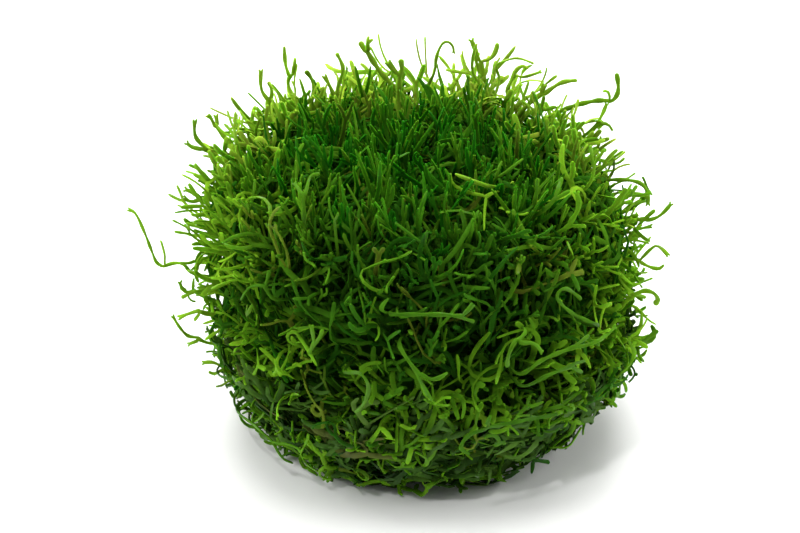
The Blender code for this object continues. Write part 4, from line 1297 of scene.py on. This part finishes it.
def make_stray(number, name):
    """One stray thallus: its seen points carried into space, and its skin grown along them."""
    manner, degrees, width, seen = STRAYS[name]
    angle = math.radians(degrees)
    turn = np.array([(math.cos(angle), -math.sin(angle), 0.0), (math.sin(angle), math.cos(angle), 0.0), UP])
    across, up, _ = seen.points[0]
    strap = rooted(in_space(seen, manner, depth_at(across, up, 0.0), turn))
    facing = turn @ np.array([0.0, -FALL_COSINE, FALL_SINE])
    before, after = strap.points[:3][-2:]
    ahead = unit(strap.points[1] - strap.points[0])
    side = squared(np.cross(after - before, facing)[None], ahead[None])
    draws = np.random.default_rng(STRAY_SEED + number)
    group = name.split("_")[0]
    width *= SLIMMER[group]
    skin = Skin(1, STRAY_CORNERS)
    grow_stray(skin, None, strap.points, ahead, strap.forks, side, width, STRAY_YOUNG, draws)
    places = np.concatenate(skin.places, axis=1)[0]
    places[:, 2] = np.maximum(places[:, 2], FLOOR_CLEAR)
    attributes = {
        "depth": -beyond(places),
        "age": np.concatenate(skin.ages),
        "tone": np.full(len(places), draws.uniform(*STRAY_TONES)),
        "lime": np.full(len(places), STRAY_LIMES_WITH_PAINTED_LIGHT[group] + draws.uniform(*STRAY_LIME_BLUR)),
    }
    faces = [for_all(skin, skin.faces)]
    return fill_mesh(f"stray_{name}", places, faces, attributes, for_all(skin, skin.creases))


strays = {name: make_stray(number, name) for number, name in enumerate(STRAYS)}
print("strays:", sum(triangles(piece) for piece in strays.values()), "triangles")

# %% [markdown]
# Shader groups: tissue and water
#
# Every strap is the same living tissue: dark and olive where it is old, bright green where it is young, a
# touch paler at the tip, and no two plants alike. Its colour is also darkened the deeper it lies: painted
# shade. And nearly all of it is wet. Both effects are wanted by several materials, so each is a node group
# that only gives out colours, masks and values. The shader stays in the material. The meshes carry four
# attributes: how old a point of the plant is, how deep it lies, how yellow-green the plant is, partly
# painted light, and a tone of its own.

# %% Node helpers
NOISE_ROUGHNESS = 0.55


def place_node(tree, kind, **settings):
    """A new node with its settings."""
    node = tree.nodes.new(kind)
    for key, value in settings.items():
        setattr(node, key, value)
    return node


def new_group(title, inputs, outputs):
    """An empty node group, its inputs and outputs told as name: kind, and the ends inside it."""
    tree = bpy.data.node_groups.new(title, "ShaderNodeTree")
    for direction, kinds in (("INPUT", inputs), ("OUTPUT", outputs)):
        for name, kind in kinds.items():
            tree.interface.new_socket(name=name, in_out=direction, socket_type=f"NodeSocket{kind}")
    given = place_node(tree, "NodeGroupInput").outputs
    out = place_node(tree, "NodeGroupOutput").inputs
    return tree, given, out


def mapped(tree, source, low, high, to_low, to_high, smoothed=False):
    """A value taken from one range to another, held at the ends."""
    node = place_node(tree, "ShaderNodeMapRange", interpolation_type="SMOOTHSTEP" if smoothed else "LINEAR")
    for name, value in zip(("From Min", "From Max", "To Min", "To Max"), (low, high, to_low, to_high)):
        node.inputs[name].default_value = value
    tree.links.new(source, node.inputs["Value"])
    return node.outputs["Result"]


def mixed(tree, share, first, second, blend="MIX"):
    """Two colours mixed by a share."""
    node = place_node(tree, "ShaderNodeMix", data_type="RGBA", blend_type=blend)
    for name, value in (("Factor", share), ("A", first), ("B", second)):
        target = next(s for s in node.inputs if s.name == name and s.enabled)
        if isinstance(value, (float, tuple)):
            target.default_value = value
        else:
            tree.links.new(value, target)
    return next(s for s in node.outputs if s.enabled)


def computed(tree, operation, first, second):
    """Two values put together by an operation."""
    node = place_node(tree, "ShaderNodeMath", operation=operation)
    for index, value in enumerate((first, second)):
        if isinstance(value, float):
            node.inputs[index].default_value = value
        else:
            tree.links.new(value, node.inputs[index])
    return node.outputs[0]


def noise(tree, scale, detail):
    """Smooth noise on Object coordinates: its scale is in waves a metre."""
    place = place_node(tree, "ShaderNodeTexCoord")
    node = place_node(tree, "ShaderNodeTexNoise")
    for name, value in (("Scale", scale), ("Detail", detail), ("Roughness", NOISE_ROUGHNESS)):
        node.inputs[name].default_value = value
    tree.links.new(place.outputs["Object"], node.inputs["Vector"])
    return node.outputs["Fac"]


def attribute(tree, name):
    """One of the numbers that the mesh carries."""
    return place_node(tree, "ShaderNodeAttribute", attribute_name=name).outputs["Fac"]


# %% The tissue group
PATCH_WAVES = 420.0
CELL_WAVES = 5200.0
PATCH_HEIGHT = 0.6


def build_tissue():
    """Colour, roughness and height of thallus tissue from its age, its tone, how yellow-green it is (partly
    painted light) and how deep it lies (darker deeper down: painted shade).

    Each range below is told as from a low and a high value to what they give.
    """
    tree, given, out = new_group("thallus tissue", dict.fromkeys(("Deep", "Lime", "Old", "Brown"), "Color"),
                                 {"Colour": "Color", "Roughness": "Float", "Height": "Float"})
    age, tone, lime, depth = (attribute(tree, name) for name in ("age", "tone", "lime", "depth"))
    patches = noise(tree, PATCH_WAVES, 2.0)
    cells = noise(tree, CELL_WAVES, 2.0)

    # Partly painted light: the lime attribute makes plants lighter on the sides, low down, on the rim and at
    # outer tips.
    greener_with_painted_light = mixed(tree, lime, given["Deep"], given["Lime"])
    young = mapped(tree, age, 0.02, 0.5, 0.0, 1.0, smoothed=True)
    aged = mixed(tree, young, given["Old"], greener_with_painted_light)
    brown_plants = mapped(tree, tone, 0.93, 0.97, 0.0, 0.8)
    less_at_tips = mapped(tree, age, 0.9, 1.0, 1.0, 0.5)
    browned = mixed(tree, computed(tree, "MULTIPLY", brown_plants, less_at_tips), aged, given["Brown"])
    bright = mapped(tree, tone, 0.0, 1.0, 0.78, 1.10)
    patchy = mapped(tree, patches, 0.3, 0.7, 0.80, 1.18)
    paler_tip = mapped(tree, age, 0.72, 1.0, 1.0, 1.12, smoothed=True)
    # Painted shade: the colour darkens the deeper a point lies below the outline of the tips.
    painted_depth_shade = mapped(tree, depth, 0.0, 9.0, 1.0, 0.66, smoothed=True)
    for shade in (patchy, paler_tip, painted_depth_shade):
        bright = computed(tree, "MULTIPLY", bright, shade)
    grey = place_node(tree, "ShaderNodeCombineColor")
    for name in ("Red", "Green", "Blue"):
        tree.links.new(bright, grey.inputs[name])
    lumps = computed(tree, "ADD", cells, computed(tree, "MULTIPLY", patches, PATCH_HEIGHT))
    tree.links.new(mixed(tree, 1.0, browned, grey.outputs[0], "MULTIPLY"), out["Colour"])
    tree.links.new(mapped(tree, cells, 0.3, 0.7, 0.36, 0.54), out["Roughness"])
    tree.links.new(lumps, out["Height"])
    return tree


# %% The water group
POOL_WAVES = 320.0
BEAD_WAVES = 1500.0


def build_water():
    """Where a film of water lies: a mask for the coat, and the height of its beads."""
    tree, given, out = new_group("water film", {"Wetness": "Float"}, {"Coat": "Float", "Height": "Float"})
    pools = mapped(tree, noise(tree, POOL_WAVES, 1.0), 0.50, 0.62, 0.20, 1.0, smoothed=True)
    outer = mapped(tree, attribute(tree, "depth"), 0.5, 4.0, 1.0, 0.0, smoothed=True)
    pools = computed(tree, "MULTIPLY", pools, outer)
    beads = noise(tree, BEAD_WAVES, 1.0)
    tree.links.new(computed(tree, "MULTIPLY", pools, given["Wetness"]), out["Coat"])
    tree.links.new(mapped(tree, beads, 0.5, 0.75, 0.0, 1.0, smoothed=True), out["Height"])
    return tree


TISSUE = build_tissue()
WATER = build_water()
print("groups:", TISSUE.name, "and", WATER.name)

# %% [markdown]
# The materials
#
# A thallus is only a few cells thick, so light goes a little way into it and comes out again: that is what
# makes the crest glow against the light. It is given by a small amount of subsurface scattering, a fraction
# of a millimetre deep, and by the crest's lighter colours, which are painted backlight. The flanks' colours
# are lighter as painted side light, and the crown's and front's darker as painted shade. Over it lies the
# clear coat of the water. The old growth low down is duller and wetter than the young, and the core is
# darkest and has no film.

# %% Materials
Finish = namedtuple("Finish", "deep lime old brown wetness glow")
# Partly painted light: crest and flank colours lighter (backlight, side light), crown and front darker
# (shade).
FINISHES_WITH_PAINTED_LIGHT = {
    "crown": Finish((0.013, 0.110, 0.004), (0.170, 0.350, 0.014), (0.010, 0.068, 0.003),
                    (0.085, 0.115, 0.010), 0.25, 0.34),
    "crest": Finish((0.088, 0.228, 0.009), (0.285, 0.445, 0.030), (0.058, 0.160, 0.008),
                    (0.15, 0.20, 0.018), 0.20, 0.45),
    "flank": Finish((0.036, 0.165, 0.005), (0.180, 0.360, 0.015), (0.040, 0.108, 0.004),
                    (0.12, 0.16, 0.014), 0.25, 0.36),
    "front": Finish((0.018, 0.087, 0.005), (0.140, 0.332, 0.012), (0.019, 0.062, 0.004),
                    (0.10, 0.135, 0.012), 0.35, 0.28),
    "skirt": Finish((0.044, 0.108, 0.016), (0.150, 0.300, 0.024), (0.022, 0.058, 0.011),
                    (0.07, 0.078, 0.018), 0.40, 0.10),
    "core": Finish((0.020, 0.070, 0.005), (0.020, 0.070, 0.005), (0.016, 0.058, 0.004),
                   (0.016, 0.04, 0.003), 0.0, 0.0),
}
SCATTER_DEPTH = 0.0006
SCATTER_SHARES = (0.35, 1.0, 0.15)
WATER_IOR = 1.33
WATER_ROUGHNESS = 0.05
BUMP_STRENGTH = 0.36
BUMP_DEPTH = 0.0001


def thallus_material(name):
    """Wet thallus: tissue under a coat of water."""
    finish = FINISHES_WITH_PAINTED_LIGHT[name]
    material = bpy.data.materials.new(f"{name} thallus")
    material.use_nodes = True
    tree = material.node_tree
    shader = tree.nodes["Principled BSDF"]
    tissue = place_node(tree, "ShaderNodeGroup", node_tree=TISSUE)
    for socket_name, colour in zip(("Deep", "Lime", "Old", "Brown"), finish):
        tissue.inputs[socket_name].default_value = (*colour, 1.0)
    water = place_node(tree, "ShaderNodeGroup", node_tree=WATER)
    water.inputs["Wetness"].default_value = finish.wetness
    tree.links.new(tissue.outputs["Colour"], shader.inputs["Base Color"])
    tree.links.new(tissue.outputs["Roughness"], shader.inputs["Roughness"])
    tree.links.new(water.outputs["Coat"], shader.inputs["Coat Weight"])
    both = computed(tree, "ADD", tissue.outputs["Height"], water.outputs["Height"])
    bump = place_node(tree, "ShaderNodeBump")
    bump.inputs["Strength"].default_value = BUMP_STRENGTH
    bump.inputs["Distance"].default_value = BUMP_DEPTH
    tree.links.new(both, bump.inputs["Height"])
    tree.links.new(bump.outputs["Normal"], shader.inputs["Normal"])
    shader.inputs["Specular IOR Level"].default_value = 0.0
    shader.inputs["Coat Roughness"].default_value = WATER_ROUGHNESS
    shader.inputs["Coat IOR"].default_value = WATER_IOR
    shader.inputs["Subsurface Weight"].default_value = finish.glow
    shader.inputs["Subsurface Radius"].default_value = SCATTER_SHARES
    shader.inputs["Subsurface Scale"].default_value = SCATTER_DEPTH
    return material


MATERIALS = {name: thallus_material(name) for name in FINISHES_WITH_PAINTED_LIGHT}
FINISH_OF = {"crown": "crown", "crest": "crest", "left": "flank", "right": "flank", "lower": "front",
             "front": "front", "back": "flank", "skirt": "skirt", "curl": "front", "thatch": "front",
             "base": "skirt"}
SLOT_OF = {"crest": "crown", "lower": "front", "skirt": "mat", "curl": "mat", "thatch": "mat", "base": "mat"}
print("materials:", ", ".join(MATERIALS))

# %% [markdown]
# Dressing the frame
#
# Every new piece takes the place of a plain solid: the core and all the growth stand for the mat, and each
# stray strap for a solid of its own. A piece has to say which body carries it and which solid it hides.
# That could be written out for each, but a loop says the same and leaves none out.

# %% Dressing the frame
core.data.materials.append(MATERIALS["core"])
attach(core, "root")
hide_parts("thallus_mat")
for name, piece in growth.items():
    piece.data.materials.append(MATERIALS[FINISH_OF[name]])
    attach(piece, "root")
    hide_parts("thallus_mat")
    SLOT_OF.get(name, name)
for name, piece in strays.items():
    group = name.split("_")[0]
    # Crown strays take the crest's finish, whose lighter colours are painted backlight.
    piece.data.materials.append(MATERIALS["crest" if group == "crown" else FINISH_OF[group]])
    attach(piece, "root")
    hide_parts(f"thallus_{name}")
total = sum(triangles(piece) for piece in [*growth.values(), *strays.values()])
print("fibres:", total, "triangles in all")

# %% [markdown]
# Floor and light
#
# The clump was photographed on white, lit softly from above and from both sides, and a little from behind,
# so the crest and the flanks are bright and the front falls off into dark gaps. A pale floor, an even white
# sky and large soft lamps give much of this, and the finishes add painted light and shade: lighter on the
# crest and flanks, darker on the front. One small lamp makes the film of water glint.

# %% Floor and light
Lamp = namedtuple("Lamp", "place size watts")
LAMPS = {
    "top": Lamp((0.0, 0.12, 0.60), 0.50, 5.0),
    "left": Lamp((-0.55, 0.05, 0.30), 0.40, 2.8),
    "right": Lamp((0.55, 0.05, 0.30), 0.40, 2.3),
    "behind": Lamp((0.0, 0.62, 0.34), 0.50, 4.8),
    "glint": Lamp((-0.16, -0.30, 0.50), 0.035, 0.9),
}
CLUMP_MIDDLE = np.array([0.0, 0.0, 0.025])
SKY_STRENGTH = 0.20
FLOOR_REACH = 3000.0
FLOOR_DROP = 0.02
FLOOR_COLOUR = (0.88, 0.88, 0.87, 1.0)
FLOOR_ROUGHNESS = 0.85


def add_lamps():
    """Square lamps, each turned to the middle of the clump."""
    for name, lamp in LAMPS.items():
        light = bpy.data.lights.new(name, "AREA")
        light.shape = "SQUARE"
        light.size = lamp.size
        light.energy = lamp.watts
        holder = bpy.data.objects.new(name, light)
        holder.location = lamp.place
        x, y, z = CLUMP_MIDDLE - np.array(lamp.place)
        holder.rotation_euler = (math.atan2(math.hypot(x, y), -z), 0.0, math.atan2(-x, y))
        bpy.context.scene.collection.objects.link(holder)


def add_sky():
    """An even white sky."""
    world = bpy.data.worlds.new("sky")
    world.use_nodes = True
    sky = world.node_tree.nodes["Background"]
    sky.inputs["Color"].default_value = (1.0, 1.0, 1.0, 1.0)
    sky.inputs["Strength"].default_value = SKY_STRENGTH
    bpy.context.scene.world = world


def add_floor():
    """A wide pale floor just under the clump."""
    signs = ((-1.0, -1.0), (1.0, -1.0), (1.0, 1.0), (-1.0, 1.0))
    places = np.array([(x * FLOOR_REACH, y * FLOOR_REACH, -FLOOR_DROP) for x, y in signs])
    floor = fill_mesh("floor", places, [np.array([(0, 1, 2, 3)])], {})
    material = bpy.data.materials.new("floor")
    material.use_nodes = True
    shader = material.node_tree.nodes["Principled BSDF"]
    shader.inputs["Base Color"].default_value = FLOOR_COLOUR
    shader.inputs["Roughness"].default_value = FLOOR_ROUGHNESS
    floor.data.materials.append(material)


add_lamps()
add_sky()
add_floor()
bpy.context.scene.view_settings.view_transform = "Standard"
print("lamps:", ", ".join(LAMPS))
